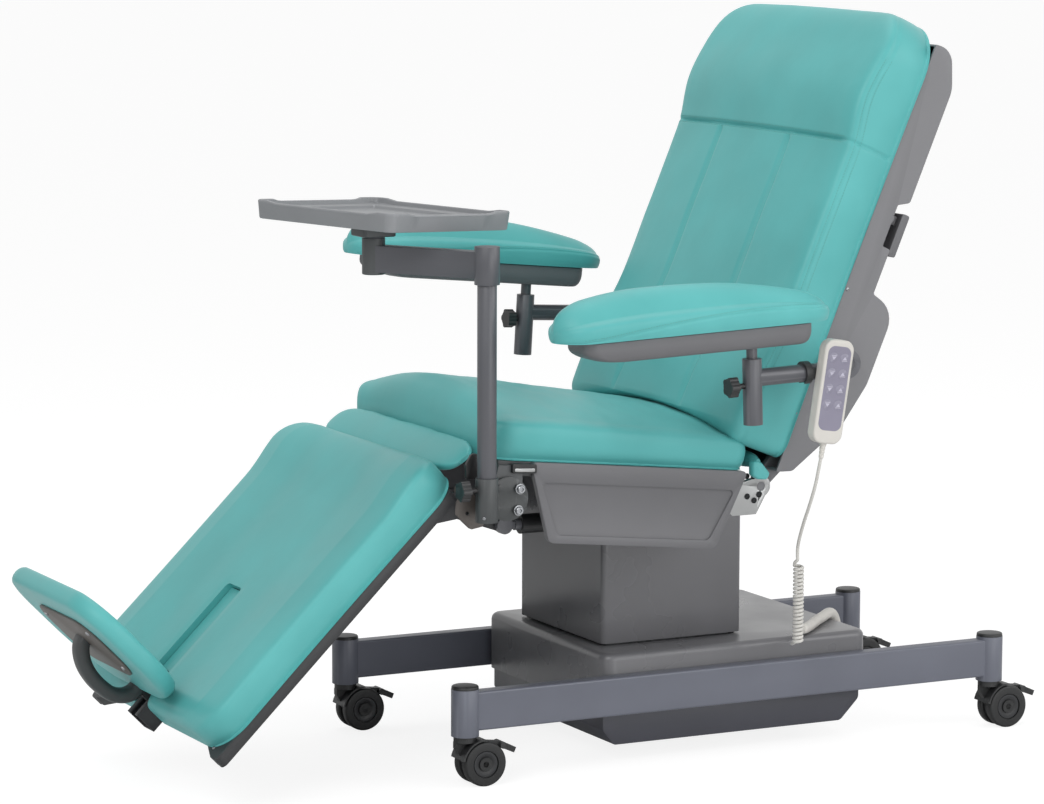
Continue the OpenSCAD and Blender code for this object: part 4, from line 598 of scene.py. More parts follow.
def endHeight(a, kept=endShape["kept"], fullness=0.5):
    # Share of a cushion's height left at a turn of its rounded end.
    return kept + (1 - kept) * max(math.cos(a), 0.0) ** fullness


def swell(y, at, reach, rise):
    # A smooth swelling of a cushion round one place along it.
    return 0 if abs(y - at) > reach else rise * (1 + math.cos(math.pi * (y - at) / reach)) / 2


def stationList(length, r, mids, lowR=None):
    # Places along a cushion with the turn of its rounded ends, in radians.
    lowR = lowR or r
    turns = [math.radians(a) for a in endShape["turns"]]
    low = [(-length / 2 + lowR - lowR * math.sin(a), a) for a in turns]
    middle = [(-length / 2 + lowR + (length - lowR - r) * i / mids, 0.0) for i in range(mids + 1)]
    high = [(length / 2 - r + r * math.sin(a), a) for a in reversed(turns)]
    return low + middle + high


# A side's height and reach at its stations, and the shares of the width where it starts and ends
sideShape = {"up": (0.06, 0.35, 0.72, 0.94), "out": (0.55, 0.9, 1.0, 0.7), "perSpan": 8, "foot": 0.3,
             "base": 0.6, "top": (0.95, 0.8)}


def cushionRing(half, edge, roll, top, samples=72):
    # Points of one section: (across, up), from the right base corner over the top to the left.
    s = sideShape
    inner = half - roll
    control = [(inner * s["base"], 0), (inner + roll * s["foot"], 0)]
    control += [(inner + roll * o, edge * u) for u, o in zip(s["up"], s["out"])]
    control += [(inner * share, top(share)) for share in s["top"]]
    right = easedBetween([np.array(q, float) for q in control], s["perSpan"])
    across = [s["top"][0] * math.cos(math.pi * k / samples) for k in range(samples + 1)]
    flat = [np.array((inner * c, top(c))) for c in across]
    left = [np.array((-q[0], q[1])) for q in reversed(right)]
    base = [np.array((inner * share, 0.0)) for share in (-s["base"], 0.0, s["base"])]
    return right + flat + left + base


def groove(distance, width, depth):
    # A sewn channel: a narrow valley with soft shoulders.
    return depth * math.exp(-(distance / width) ** 2)


def wrinkle(x, y, z, pulls):
    # Shallow pulls in the covering, drawn out by their stretch and the same in each run.
    p = Vector((x, y, z)) * Vector(pulls["stretch"]) / pulls["size"]
    seed = pulls["seed"]
    return pulls["depth"] * noise.noise(p + Vector((seed, seed * 1.7, seed * 0.3)))


def addPad(name, shape, place, body, stands=None, sharp=70):
    piece = addPiece(name, shape, place, finishes["vinyl"], sharp, body, "vinyl", stands)
    return piece


seatPad = {
    "half": 300, "length": 507, "front": -281, "edge": 74, "crown": 32, "roll": 30, "endRound": 54,
    "rearRound": 34, "draw": 5, "lift": 14, "crownFall": 0.3, "mids": 40,
    "pulls": {"from": 30, "stretch": (1, 2.2, 1), "size": 70, "depth": 1.6, "seed": 3},
}


def seatSurface(s, a):
    along = 2 * s / seatPad["length"]
    corner = seatPad["rearRound"] if s > 0 else seatPad["endRound"]
    half = seatPad["half"] - corner * (1 - math.cos(a)) - seatPad["draw"] * (1 - along ** 2)
    edge = seatPad["edge"] * endHeight(a) - seatPad["lift"] * (1 + along) / 2
    crown = seatPad["crown"] * math.sqrt(math.cos(a)) * (1 - seatPad["crownFall"] * along)
    return half, edge, crown


def makeSeat():
    middle = seatPad["front"] + seatPad["length"] / 2
    rings = []
    for s, a in stationList(seatPad["length"], seatPad["rearRound"], seatPad["mids"], seatPad["endRound"]):
        half, edge, crown = seatSurface(s, a)
        ring = cushionRing(half, edge, seatPad["roll"], lambda c: edge + crown * (1 - c * c))
        rings.append([(x, middle + s, z) for x, z in ring])
    points, faces = skinRings(rings)
    pulls = seatPad["pulls"]
    points = [(x, y, z + (wrinkle(x, y, z, pulls) if z > pulls["from"] else 0)) for x, y, z in points]
    addPad("seatCushionCover", (points, faces), onSeat, "seat", "seat_cushion")


# Seam, pinch and piping are the width and depth of their grooves; head and waist are a swelling's middle,
# reach and rise
backPad = {
    "half": 318, "low": 47, "length": 821, "edge": 101, "crown": 12, "roll": 22, "endRound": 96,
    "lowRound": 40, "lowFullness": 0.2, "draw": 6, "frontAt": 1.6, "head": (247, 110, 16),
    "waist": (-330, 200, 19), "heelRise": 38, "mids": 60, "across": 150,
    "headSeam": 250, "seamSteps": (0, 1.2, 2.5, 4, 6, 9), "seamRoom": 10, "seam": (3.2, 6.5),
    "pinch": (3.2, 3.0), "pinchFrom": 8, "pipingShare": 0.8, "piping": (3.6, 2.0),
    "channels": (-0.42, 0.42), "channel": (5, 8), "channelTop": 12, "channelLow": (30, 60),
    "pulls": {"from": 30, "stretch": (1, 1, 1.4), "size": 90, "depth": 1.5, "seed": 7},
}


def backSurface(s, a):
    length = backPad["length"]
    along = 2 * s / length
    corner = backPad["lowRound"] if s < 0 else backPad["endRound"]
    half = backPad["half"] - corner * (1 - math.cos(a)) - backPad["draw"] * (1 - along ** 2)
    thick = backPad["edge"] + swell(s, *backPad["head"]) + swell(s, *backPad["waist"])
    full = endHeight(a) if s > 0 else endHeight(a, fullness=backPad["lowFullness"])
    return half, thick * full, backPad["crown"] * math.sqrt(math.cos(a))


def clamped(value):
    return min(1.0, max(0.0, value))


def makeBack():
    p = backPad
    length = p["length"]
    seamAt = length / 2 - p["headSeam"]
    places = [q for q in stationList(length, p["endRound"], p["mids"], p["lowRound"])
              if abs(q[0] - seamAt) > p["seamRoom"]]
    places += [(seamAt + d * way, 0.0) for d in p["seamSteps"] for way in ((-1, 1) if d else (1,))]
    rings = []
    for s, a in sorted(places):
        half, edge, crown = backSurface(s, a)
        start, ease = p["channelLow"]
        fade = clamped((seamAt - s) / p["channelTop"]) * clamped((s + length / 2 - start) / ease)

        def top(c):
            cut = sum(groove((c - at) * (half - p["roll"]), *p["channel"]) for at in p["channels"]) * fade
            return edge + crown * (1 - c * c) - cut - groove(s - seamAt, *p["seam"])
        ring = cushionRing(half, edge, p["roll"], top, p["across"])
        pinch = groove(s - seamAt, *p["pinch"])
        piping = p["pipingShare"] * edge
        ring = [(x - math.copysign(groove(z - piping, *p["piping"]), x), z) for x, z in ring]
        heel = p["heelRise"] * math.sin(a) if s < 0 else 0
        rings.append([(x - math.copysign(pinch, x) * (z > p["pinchFrom"]), p["frontAt"] - z,
                       p["low"] + length / 2 + s + heel * (1 - (x / p["half"]) ** 2)) for x, z in ring])
    points, faces = skinRings(rings)
    pulls = p["pulls"]
    points = [(x, y + (wrinkle(x, y, z, pulls) if y < -pulls["from"] else 0), z) for x, y, z in points]
    return addPad("backCushionCover", (points, faces), onBack, "back", "back_cushion")


# The slot's fall and the channels beside it are the width and depth of their grooves
legPad = {
    "half": 298, "start": 38, "length": 610, "edge": 62, "crown": 7, "crownTo": 0.82, "roll": 18,
    "endRound": 66, "draw": 5, "dish": 11, "base": 86.4, "upperRoll": (253, 96, 10), "mids": 60,
    "across": 150, "slotHalf": 31, "slotCorners": (9, 9, 1, 1), "slotFrom": 387, "slotTo": 700,
    "slotFall": (9, 1.5), "channelAt": 120, "channel": (40, 1.2), "railFrom": 262, "railTop": 46.2,
    "railHalf": 31.6, "cutUnder": 5,
}


def legTop(s, a, c, half, edge, crown):
    p = legPad
    shoulder = max(0.0, (abs(c) - p["crownTo"]) / (1 - p["crownTo"]))
    height = edge + crown * (1 - shoulder) - p["dish"] * math.cos(a) * (1 - c * c)
    u = p["start"] + p["length"] / 2 - s
    x = abs(c * (half - p["roll"]))
    away = max(0.0, x - p["slotHalf"]) + max(0.0, p["slotFrom"] - u)
    return height - groove(away, *p["slotFall"]) - groove(x - p["channelAt"], *p["channel"])


def makeLegPad():
    p = legPad
    middle = p["start"] + p["length"] / 2
    rings = []
    for s, a in stationList(p["length"], p["endRound"], p["mids"]):
        along = 2 * s / p["length"]
        half = p["half"] - p["endRound"] * (1 - math.cos(a)) - p["draw"] * (1 - along ** 2)
        edge = (p["edge"] + swell(s, *p["upperRoll"])) * endHeight(a)
        crown = p["crown"] * math.sqrt(math.cos(a))
        ring = cushionRing(half, edge, p["roll"], lambda c: legTop(s, a, c, half, edge, crown), p["across"])
        rings.append([(x, middle - s, p["base"] + z) for x, z in ring])
    piece = makePiece("legPadCover", *skinRings(rings), onLeg, finishes["vinyl"], 60)
    wide, start, end, rail = p["slotHalf"], p["slotFrom"], p["slotTo"], p["railHalf"]
    slot = roundedOutline([(wide, start), (-wide, start), (-wide, end), (wide, end)], p["slotCorners"])
    channel = ((rail, p["railFrom"]), (-rail, p["railFrom"]), (-rail, end), (rail, end))
    cutters = []
    for name, outline, high in (("legSlotCutter", slot, 2 * p["edge"]),
                                ("legRailCutter", channel, p["railTop"])):
        levels = (p["base"] - p["cutUnder"], p["base"] + high)
        cutters.append(makePiece(name, *skinRings([[(x, u, z) for x, u in outline] for z in levels]), onLeg,
                                 finishes["vinyl"]))
        carve = piece.modifiers.new("carve", "BOOLEAN")
        carve.object, carve.operation, carve.solver = cutters[-1], "DIFFERENCE", "FAST"
    carved = bpy.data.meshes.new_from_object(piece.evaluated_get(bpy.context.evaluated_depsgraph_get()))
    piece.modifiers.clear()
    piece.data = carved
    for cutter in cutters:
        bpy.data.objects.remove(cutter)
    carved.shade_smooth()
    carved.set_sharp_from_angle(angle=math.radians(50))
    dress(piece, "leg_rest", "vinyl", "leg_pad")


footPad = {
    "half": 207, "depth": 264, "thick": 34, "low": 145, "at": 598, "corners": (128, 84, 84, 128),
    "cornerSteps": 14, "round": 13, "roundSteps": 8, "crown": 0.9, "shares": (0.15, 0.35, 0.6, 0.85),
}


def makeFootboard():
    p = footPad
    deep, thick = p["depth"] / 2, p["thick"]
    outline = np.array(roundedBox(p["half"], -deep, deep, p["corners"], p["cornerSteps"]))
    away = np.linalg.norm(outline, axis=1, keepdims=True)
    layers = [(outline * share, -p["crown"] * (1 - share)) for share in p["shares"]]
    for a in (math.pi * k / p["roundSteps"] for k in range(p["roundSteps"] + 1)):
        layers.append((outline * (1 - p["round"] * (1 - math.sin(a)) / away), thick / 2 * (1 - math.cos(a))))
    layers += [(outline * share, thick + p["crown"] * (1 - share)) for share in reversed(p["shares"])]
    middle = p["low"] + deep
    rings = [[(x, p["at"] + y, middle + z) for x, z in drawn] for drawn, y in layers]
    addPad("footboardCover", skinRings(rings), onLeg, "foot_rest", "footboard")


armPad = {
    "x": 430, "middle": -196, "length": 522, "width": 120, "roll": 14, "rollMost": 0.8, "endRound": 56,
    "endDrawn": 0.97, "endKept": 0.3, "endCrown": 0.6, "base": 804.4, "mids": 40, "across": 36,
    "seamGroove": (1.6, 1.6), "easeOver": (-0.12, -0.06, 0, 0.06, 0.12),
    "along": (-1, -0.8, -0.5, -0.1, 0.25, 0.55, 0.8, 1),
    "edge": (28, 33, 38, 40, 40, 38, 33, 27), "crown": (28, 36, 42, 40, 36, 27, 19, 12),
    "seam": (0.04, 0.1, 0.34, 0.6, 0.74, 0.8, 0.84, 0.86),
}


def armAlong(name, along):
    # A size of the arm pad at a share of its length, from front (-1) to rear (1), eased between stations.
    return float(np.mean([np.interp(along + d, armPad["along"], armPad[name]) for d in armPad["easeOver"]]))


def makeArmPads():
    p = armPad
    rings = []
    for s, a in stationList(p["length"], p["endRound"], p["mids"]):
        along = 2 * s / p["length"]
        half = p["width"] / 2 - p["endRound"] * (1 - math.cos(a)) * p["endDrawn"]
        edge = armAlong("edge", along) * endHeight(a, p["endKept"])
        crown = armAlong("crown", along) * math.cos(a) ** p["endCrown"]
        roll = min(p["roll"] * math.cos(a / 2), half * p["rollMost"])
        ring = cushionRing(half, edge, roll, lambda c: edge + crown * (1 - c * c), p["across"])
        seamZ = armAlong("seam", along) * edge
        rings.append([(p["x"] + x - math.copysign(groove(z - seamZ, *p["seamGroove"]), x), p["middle"] + s,
                       p["base"] + z) for x, z in ring])
    return [addPad("armPadCover_" + name, skinRings(rings), onPad(side), "rest_" + name,
                   "arm_pad_" + name) for side, name in bothSides]


armTray = {
    "top": (-416, 24), "half": 46, "bow": 64, "stern": 9, "flare": 15, "corner": 24, "cornerSteps": 10,
    "low": 766.4, "high": 803.2, "lip": 12, "mould": 10, "rim": ((1, -0.8), (0.985, 0)),
}


def makeArmTrays():
    t = armTray
    front, rear = t["top"]
    middle = (front + rear) / 2
    rings = []
    for level in (1 - math.cos(math.pi / 2 * i / t["mould"]) for i in range(t["mould"] + 1)):
        drawn = 1 - math.sqrt(max(0.0, 1 - (1 - level) ** 2))
        outline = roundedBox(t["half"] - t["flare"] * drawn, front + t["bow"] * drawn,
                             rear - t["stern"] * drawn, t["corner"], t["cornerSteps"])
        z = t["low"] + (t["high"] - t["lip"] - t["low"]) * level
        rings.append([(armPad["x"] + x, y, z) for x, y in outline])
    outline = roundedBox(t["half"], front, rear, t["corner"], t["cornerSteps"])
    for k, up in t["rim"]:
        rings.append([(armPad["x"] + x * k, middle + (y - middle) * k, t["high"] + up) for x, y in outline])
    for side, name in bothSides:
        addPiece("armTrayShell_" + name, skinRings(rings), onPad(side), finishes["moulded_grey"], 40,
                 "rest_" + name, "moulded_grey", "arm_tray_" + name)


def squarer(value, power):
    # A sine or cosine pushed outwards, which makes a round section fuller.
    return math.copysign(abs(value) ** power, value)


def rollStations(count, least):
    # Shares of a roll's half length, closer at its ends, with how thick the roll is there.
    shares = np.sin(np.linspace(-1, 1, count) * math.pi / 2)
    return [(share, max(least, (1 - abs(share) ** 9) ** 0.45)) for share in shares]


# Each wave is its height, its turns along the flap and where it starts
kneeFlap = {"at": (0, -546, 571.2), "half": 268, "length": 74, "thick": 25, "slope": 36, "stations": 61,
            "sides": 40, "endKept": 0.28, "waves": ((0.72, 9.0, 0.0), (0.48, 23.0, 1.3))}


def makeKneeFlap():
    f = kneeFlap
    place = onBase @ shift(*f["at"]) @ turnX(f["slope"])
    deep = f["length"] / 2
    rings = []
    for share, k in rollStations(f["stations"], f["endKept"]):
        wave = sum(rise * math.sin(share * turns + start) for rise, turns, start in f["waves"])
        rings.append([(f["half"] * share, deep * k * math.cos(t) + wave,
                       -f["thick"] / 2 * k * squarer(math.sin(t), 0.5)) for t in fullTurn(f["sides"])])
    piece = makePiece("kneeFlapCover", *skinRings(rings), place, finishes["vinyl"], 70)
    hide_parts("knee_flap")
    ends = inMetres(place, (0, deep, 0)), inMetres(place, (0, -deep, 0))
    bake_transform(piece)


# A covered roll in the wedge behind the seat; it leans back with the backrest
heelRoll = {"y": 20, "z": 531, "half": 284, "radius": 16, "stations": 41, "sides": 32, "endKept": 0.3}


def makeHeelRoll():
    h = heelRoll
    rings = []
    for share, k in rollStations(h["stations"], h["endKept"]):
        r = h["radius"] * k
        rings.append([(h["half"] * share, h["y"] + r * math.cos(t), h["z"] + r * math.sin(t))
                      for t in fullTurn(h["sides"])])
    addPad("heelRollCover", skinRings(rings), onBase, "back")


makeSeat()
makeHeelRoll()
backCover = makeBack()
makeLegPad()
makeFootboard()
armCovers = makeArmPads()
makeArmTrays()
makeKneeFlap()
print("stage: upholstery made")


# Small hardware and stitches: copies laid on points by Geometry Nodes, then one plain mesh for each set of
# copies

def layoutTree():
    # A node group that sets one shape on every point, turned to the point's own axis.
    tree = bpy.data.node_groups.new("layCopies", "GeometryNodeTree")
    tree.interface.new_socket("Points", in_out="INPUT", socket_type="NodeSocketGeometry")
    shape = tree.interface.new_socket("Shape", in_out="INPUT", socket_type="NodeSocketObject")
    finish = tree.interface.new_socket("Finish", in_out="INPUT", socket_type="NodeSocketMaterial")
    tree.interface.new_socket("Copies", in_out="OUTPUT", socket_type="NodeSocketGeometry")
    given = tree.nodes.new("NodeGroupInput")
    axis = addNode(tree, "GeometryNodeInputNamedAttribute", {"Name": "axis"}, data_type="FLOAT_VECTOR")
    turn = addNode(tree, "FunctionNodeAlignRotationToVector", {"Vector": axis.outputs["Attribute"]},
                   axis="Z")
    one = addNode(tree, "GeometryNodeObjectInfo", {"Object": given.outputs["Shape"]})
    laid = addNode(tree, "GeometryNodeInstanceOnPoints",
                   {"Points": given.outputs["Points"], "Instance": one.outputs["Geometry"],
                    "Rotation": turn.outputs["Rotation"]})
    real = addNode(tree, "GeometryNodeRealizeInstances", {"Geometry": laid.outputs["Instances"]})
    coloured = addNode(tree, "GeometryNodeSetMaterial", {"Geometry": real.outputs["Geometry"],
                                                         "Material": given.outputs["Finish"]})
    addNode(tree, "NodeGroupOutput", {"Copies": coloured.outputs["Geometry"]})
    return tree, shape.identifier, finish.identifier


layCopies, shapeInput, finishInput = layoutTree()


def layOut(name, spots, profile, sides, material, body, slot):
    # Turned copies of a profile on spots, which are points and axes in metres in the shared frame.
    points = bpy.data.meshes.new(name + "Spots")
    points.from_pydata([point for point, axis in spots], [], [])
    axes = points.attributes.new("axis", "FLOAT_VECTOR", "POINT")
    axes.data.foreach_set("vector", [c for point, axis in spots for c in axis])
    holder = bpy.data.objects.new(name + "Holder", points)
    scene.collection.objects.link(holder)
    one = makePiece(name + "One", *lathe(profile, (0, 0, 0), (0, 0, 1), sides), np.eye(4), material)
    layout = holder.modifiers.new("layout", "NODES")
    layout.node_group = layCopies
    layout[shapeInput] = one
    layout[finishInput] = material
    seen = bpy.context.evaluated_depsgraph_get()
    piece = bpy.data.objects.new(name, bpy.data.meshes.new_from_object(holder.evaluated_get(seen)))
    scene.collection.objects.link(piece)
    for spare in (holder, one):
        bpy.data.objects.remove(spare)
    piece.data.shade_smooth()
    piece.data.set_sharp_from_angle(angle=math.radians(35))
    return dress(piece, body, slot)


def spot(place, point, axis):
    turned = place[:3, :3] @ np.array(axis, float)
    return inMetres(place, point), tuple(turned / np.linalg.norm(turned))


# Millimetres: step, rise off the cover, each row's gap from its seam, and where its rays start and end
stitching = {
    "step": 5.2, "lift": 0.25, "reach": 500, "gapLeast": 1, "gapMost": 20, "sides": 6,
    "headGaps": (-5.5, 5.5), "headHalf": 296, "headFrom": -260, "pipingGaps": (-6, 6), "pipingFrom": 420,
    "pipingLow": 60, "pipingHigh": 90, "armEnd": 34, "armFrom": 120, "armRise": 4.6,
}


def stitchSpots(cover, place, rays):
    # Stitches where rays meet a cover; each lies along the row towards the next.
    tree = BVHTree.FromPolygons([v.co for v in cover.data.vertices],
                                [tuple(face.vertices) for face in cover.data.polygons])
    hits = []
    for origin, way in rays:
        start, axis = spot(place, origin, way)
        point = tree.ray_cast(Vector(start), Vector(axis), stitching["reach"] * millimetre)[0]
        if point is not None:
            hits.append(point - Vector(axis) * stitching["lift"] * millimetre)
    return [(tuple(a), tuple((b - a).normalized())) for a, b in zip(hits, hits[1:])
            if stitching["gapLeast"] < (b - a).length / millimetre < stitching["gapMost"]]


def sewRows(name, rows, body):
    layOut(name, rows, profiles["stitch"], stitching["sides"], accents["thread"], body, "vinyl")


# Radius and height of each turned shape, from one end to the other
profiles = {
    "stitch": ((0.05, -1.7), (0.32, -1.5), (0.46, -0.9), (0.46, 0.9), (0.32, 1.5), (0.05, 1.7)),
    "panHead": ((0.1, 0), (4.6, 0), (4.6, 0.9), (3.9, 2.1), (2.4, 2.7), (1.7, 2.7), (1.5, 1.7), (0.1, 1.7)),
    "smallHead": ((0.1, 0), (3.2, 0), (3.2, 0.6), (2.6, 1.5), (1.6, 1.8), (1.2, 1.8), (1.0, 1.1),
                  (0.1, 1.1)),
    "boltHead": ((0.1, 0), (9.0, 0), (9.0, 1.6), (7.0, 1.8), (6.8, 6.6), (5.9, 7.4), (3.4, 7.4), (3.1, 5.0),
                 (0.1, 5.0)),
    "hub": ((0.1, 0), (22.6, 0), (22.0, 1.3), (15.5, 1.9), (13.5, 0.8), (9.4, 0.8), (8.6, 2.3), (5.2, 2.8),
            (0.1, 2.8)),
    "key": ((0.145, 0), (8.845, 0), (8.7, 0.35), (7.83, 0.7), (0.145, 0.8)),
    "boltHole": ((0.1, 0), (5.4, 0), (5.4, 0.5), (4.4, 0.9), (3.9, 0.3), (0.1, 0.3)),
}


def makeStitches():
    s, step = stitching, stitching["step"]
    low, high = backPad["low"], backPad["low"] + backPad["length"]
    rows = []
    for gap in s["headGaps"]:
        rows += stitchSpots(backCover, onBack, [
            ((x, s["headFrom"], high - backPad["headSeam"] + gap), (0, 1, 0))
            for x in np.arange(-s["headHalf"], s["headHalf"] + 1, step)])
    sideLine = []
    for z in np.arange(low + s["pipingLow"], high - s["pipingHigh"], step):
        edge = backSurface(z - (low + high) / 2, 0.0)[1]
        sideLine.append((backPad["frontAt"] - backPad["pipingShare"] * edge, z))
    for side in (-1, 1):
        for gap in s["pipingGaps"]:
            rows += stitchSpots(backCover, onBack, [((side * s["pipingFrom"], y - gap, z), (-side, 0, 0))
                                                    for y, z in sideLine])
    sewRows("backStitches", rows, "back")
    reach = armPad["length"] / 2 - s["armEnd"]
    armLine = []
    for y in np.arange(-reach, reach, step):
        along = 2 * y / armPad["length"]
        rise = armAlong("seam", along) * armAlong("edge", along) + s["armRise"]
        armLine.append((armPad["middle"] + y, armPad["base"] + rise))
    for cover, (side, name) in zip(armCovers, bothSides):
        rows = []
        for way in (-1, 1):
            rows += stitchSpots(cover, onPad(side), [((armPad["x"] + way * s["armFrom"], y, z), (-way, 0, 0))
                                                     for y, z in armLine])
        sewRows("armStitches_" + name, rows, "rest_" + name)
    print("stage: stitches sewn")


hardware = {
    "flangeFace": 304.3, "flangeAt": (-478, 502.6), "boltRing": 26, "boltTurns": (40, 310),
    "shellFace": 306, "shellScrews": ((185, 830), (86, 615)),
    "hingeFace": 278.2, "hingeHoles": ((1, 506), (14, 505), (2, 470), (16, 462), (26, 472)),
    "socketScrew": (345.1, -546.3, 481), "socketScrewAxis": (0.78, -0.63, 0.0),
    "wheelFace": 21.2, "trail": 29, "axleHeight": 39,
    "posts": ((248, -534.5), (-248, -534.5), (248, 534.5), (-248, 534.5)),
    "hubSides": 32, "boltSides": 24, "screwSides": 20,
}


def makeHardware():
    h = hardware
    y, z = h["flangeAt"]
    bolts = [spot(onBase, (h["flangeFace"], y + h["boltRing"] * math.cos(a), z + h["boltRing"] * math.sin(a)),
                  (1, 0, 0)) for a in map(math.radians, h["boltTurns"])]
    holes, screws = ([spot(onBase, (side * h[face], y, z), (side, 0, 0))
                      for side in (-1, 1) for y, z in h[points]]
                     for face, points in (("hingeFace", "hingeHoles"), ("shellFace", "shellScrews")))
    socket = [spot(onBase, h["socketScrew"], h["socketScrewAxis"])]
    for name, spots, profile, sides, material, body, slot in (
            ("flangeBolts", bolts, "boltHead", "boltSides", "zincScrew", "seat", "grey_steel"),
            ("hingeBolts", holes, "boltHole", "screwSides", "blackScrew", "seat", "grey_steel"),
            ("socketScrew", socket, "smallHead", "screwSides", "zincScrew", "seat", "grey_steel"),
            ("shellScrews", screws, "smallHead", "screwSides", "zincScrew", "back", "moulded_grey")):
        layOut(name, spots, profiles[profile], h[sides], accents[material], body, slot)
    for i, (x, y) in enumerate(h["posts"], 1):
        caps = [spot(onBase, (x + side * h["wheelFace"], y + h["trail"], h["axleHeight"]), (side, 0, 0))
                for side in (-1, 1)]
        layOut(f"wheelHubs_{i}", caps, profiles["hub"], h["hubSides"], accents["hubGrey"], f"wheels_{i}",
               "tread")
    print("stage: hardware set")


# Tray: a shallow moulded tray whose rim stands higher at its corners

tray = {
    "middle": (99.1, -619.2, 959.6), "lean": -2.5, "yaw": 15, "size": (366, 277), "corner": 20,
    "cornerLeast": 3, "cornerSteps": 6, "sideSteps": 24, "dip": 3.6, "cornerReach": 40,
    "cornerEase": 14, "boss": (142.1, -656.2, 944.9), "bossHalf": 30, "bossCorner": 6,
    "bossLevels": ((0, 0.95), (1.5, 1), (16, 1), (17, 0.97)),
    "pin": ((0.1, -38), (11.4, -38), (12, -37), (12, 1), (0.1, 1)),
    # Inset, height and how far that follows the rim's dip, from the middle of the underside over the rim
    "section": ((60, 0, 0), (9, 0, 0), (5, 0.8, 0), (3.6, 3, 0), (1, 26, 0), (0.4, 30, 1), (0.9, 32, 1),
                (2.2, 33, 1), (6.4, 33, 1), (8, 31.9, 1), (9.6, 24, 0.4), (12, 22.4, 0), (25, 21, 0),
                (28, 19.8, 0), (31, 15.4, 0), (35, 14, 0), (80, 13.4, 0), (118, 13.2, 0)),
}


def trayOutline(inset):
    # The tray's rounded outline drawn in by inset, with points along its straight sides.
    half, deep = (s / 2 - inset for s in tray["size"])
    corner = max(tray["corner"] - inset, tray["cornerLeast"])
    arcs = roundedBox(half, -deep, deep, corner, tray["cornerSteps"])
    each, run = tray["cornerSteps"] + 1, tray["sideSteps"]
    found = []
    for first in range(0, len(arcs), each):
        arc = arcs[first:first + each]
        after = arcs[(first + each) % len(arcs)]
        found += arc + [arc[-1] + (after - arc[-1]) * (i / run) for i in range(1, run)]
    return found


def rimDip(point):
    # How much the rim is lower away from the corners.
    along = max(tray["size"][0] / 2 - abs(point[0]), tray["size"][1] / 2 - abs(point[1]))
    share = clamped((along - tray["cornerReach"]) / tray["cornerEase"])
    return tray["dip"] * share * share * (3 - 2 * share)


def makeTray():
    t = tray
    turn = math.radians(t["yaw"])
    spin = np.eye(4)
    spin[:2, :2] = ((math.cos(turn), -math.sin(turn)), (math.sin(turn), math.cos(turn)))
    place = onBase @ shift(*t["middle"]) @ spin @ turnX(t["lean"])
    dips = [rimDip(q) for q in trayOutline(0)]
    rings = [[(x, y, height - follow * dip) for (x, y), dip in zip(trayOutline(inset), dips)]
             for inset, height, follow in t["section"]]
    addPiece("trayMoulding", skinRings(rings), place, accents["trayGrey"], 32, "tray", "moulded_grey",
             "table_tray")
    outline = roundedBox(t["bossHalf"], -t["bossHalf"], t["bossHalf"], t["bossCorner"], 5)
    shapes = [skinRings([[(x * k, y * k, z) for x, y in outline] for z, k in t["bossLevels"]]),
              lathe(t["pin"], (0, 0, 0), (0, 0, 1), 32)]
    addPiece("trayBoss", joinShapes(shapes), onBase @ shift(*t["boss"]), finishes["dark_paint"], 32, "tray",
             "moulded_grey")


# Handset: a rounded case with a printed key film, a strain relief and a collar on the bracket's tube

# The film's and the parting line's levels are inset and place across; the marks are an arrow and its bar
handset = {
    "foot": (458.5, 47, 586), "lean": -8.7, "size": (58, 180, 18), "thick": 25, "rearEdge": 6, "frontEdge": 4,
    "parting": ((0, -0.6), (0.5, -0.3), (0.5, 0.3), (0, 0.6)), "film": (46, 146, 13), "filmUp": 6,
    "filmLevels": ((0, -1.2), (0, 0.25), (0.4, 0.5), (18, 0.5)), "rows": 4, "rowStep": 27,
    "columnGap": 22, "rowsUp": 18, "keyFace": 0.5, "markFace": (1.25, 1.42),
    "relief": ((0.1, -26), (4.0, -26), (4.6, -21), (3.8, -20), (5.0, -15), (4.2, -14), (5.4, -9),
               (4.6, -8), (6.2, -2), (7.4, 2), (0.1, 3)),
    "marks": (((-4.2, -2.2), (4.2, -2.2), (0, 3.6)), ((-5.2, -4.4), (5.2, -4.4), (5.2, -3.4), (-5.2, -3.4))),
}


def handsetRings(size, levels, up):
    wide, tall, corner = size
    return [[(x, y, up + z) for y, z in roundedBox(wide / 2 - inset, inset - tall / 2, tall / 2 - inset,
                                                   corner - inset, 8)] for inset, x in levels]


def edgeLevels(radius, face, way):
    # Inset and place across of the rings round an edge, from the case's face to its side.
    return [(radius * (1 - math.sin(a)), face + way * radius * (1 - math.cos(a)))
            for a in (math.pi / 2 * k / 8 for k in range(9))]


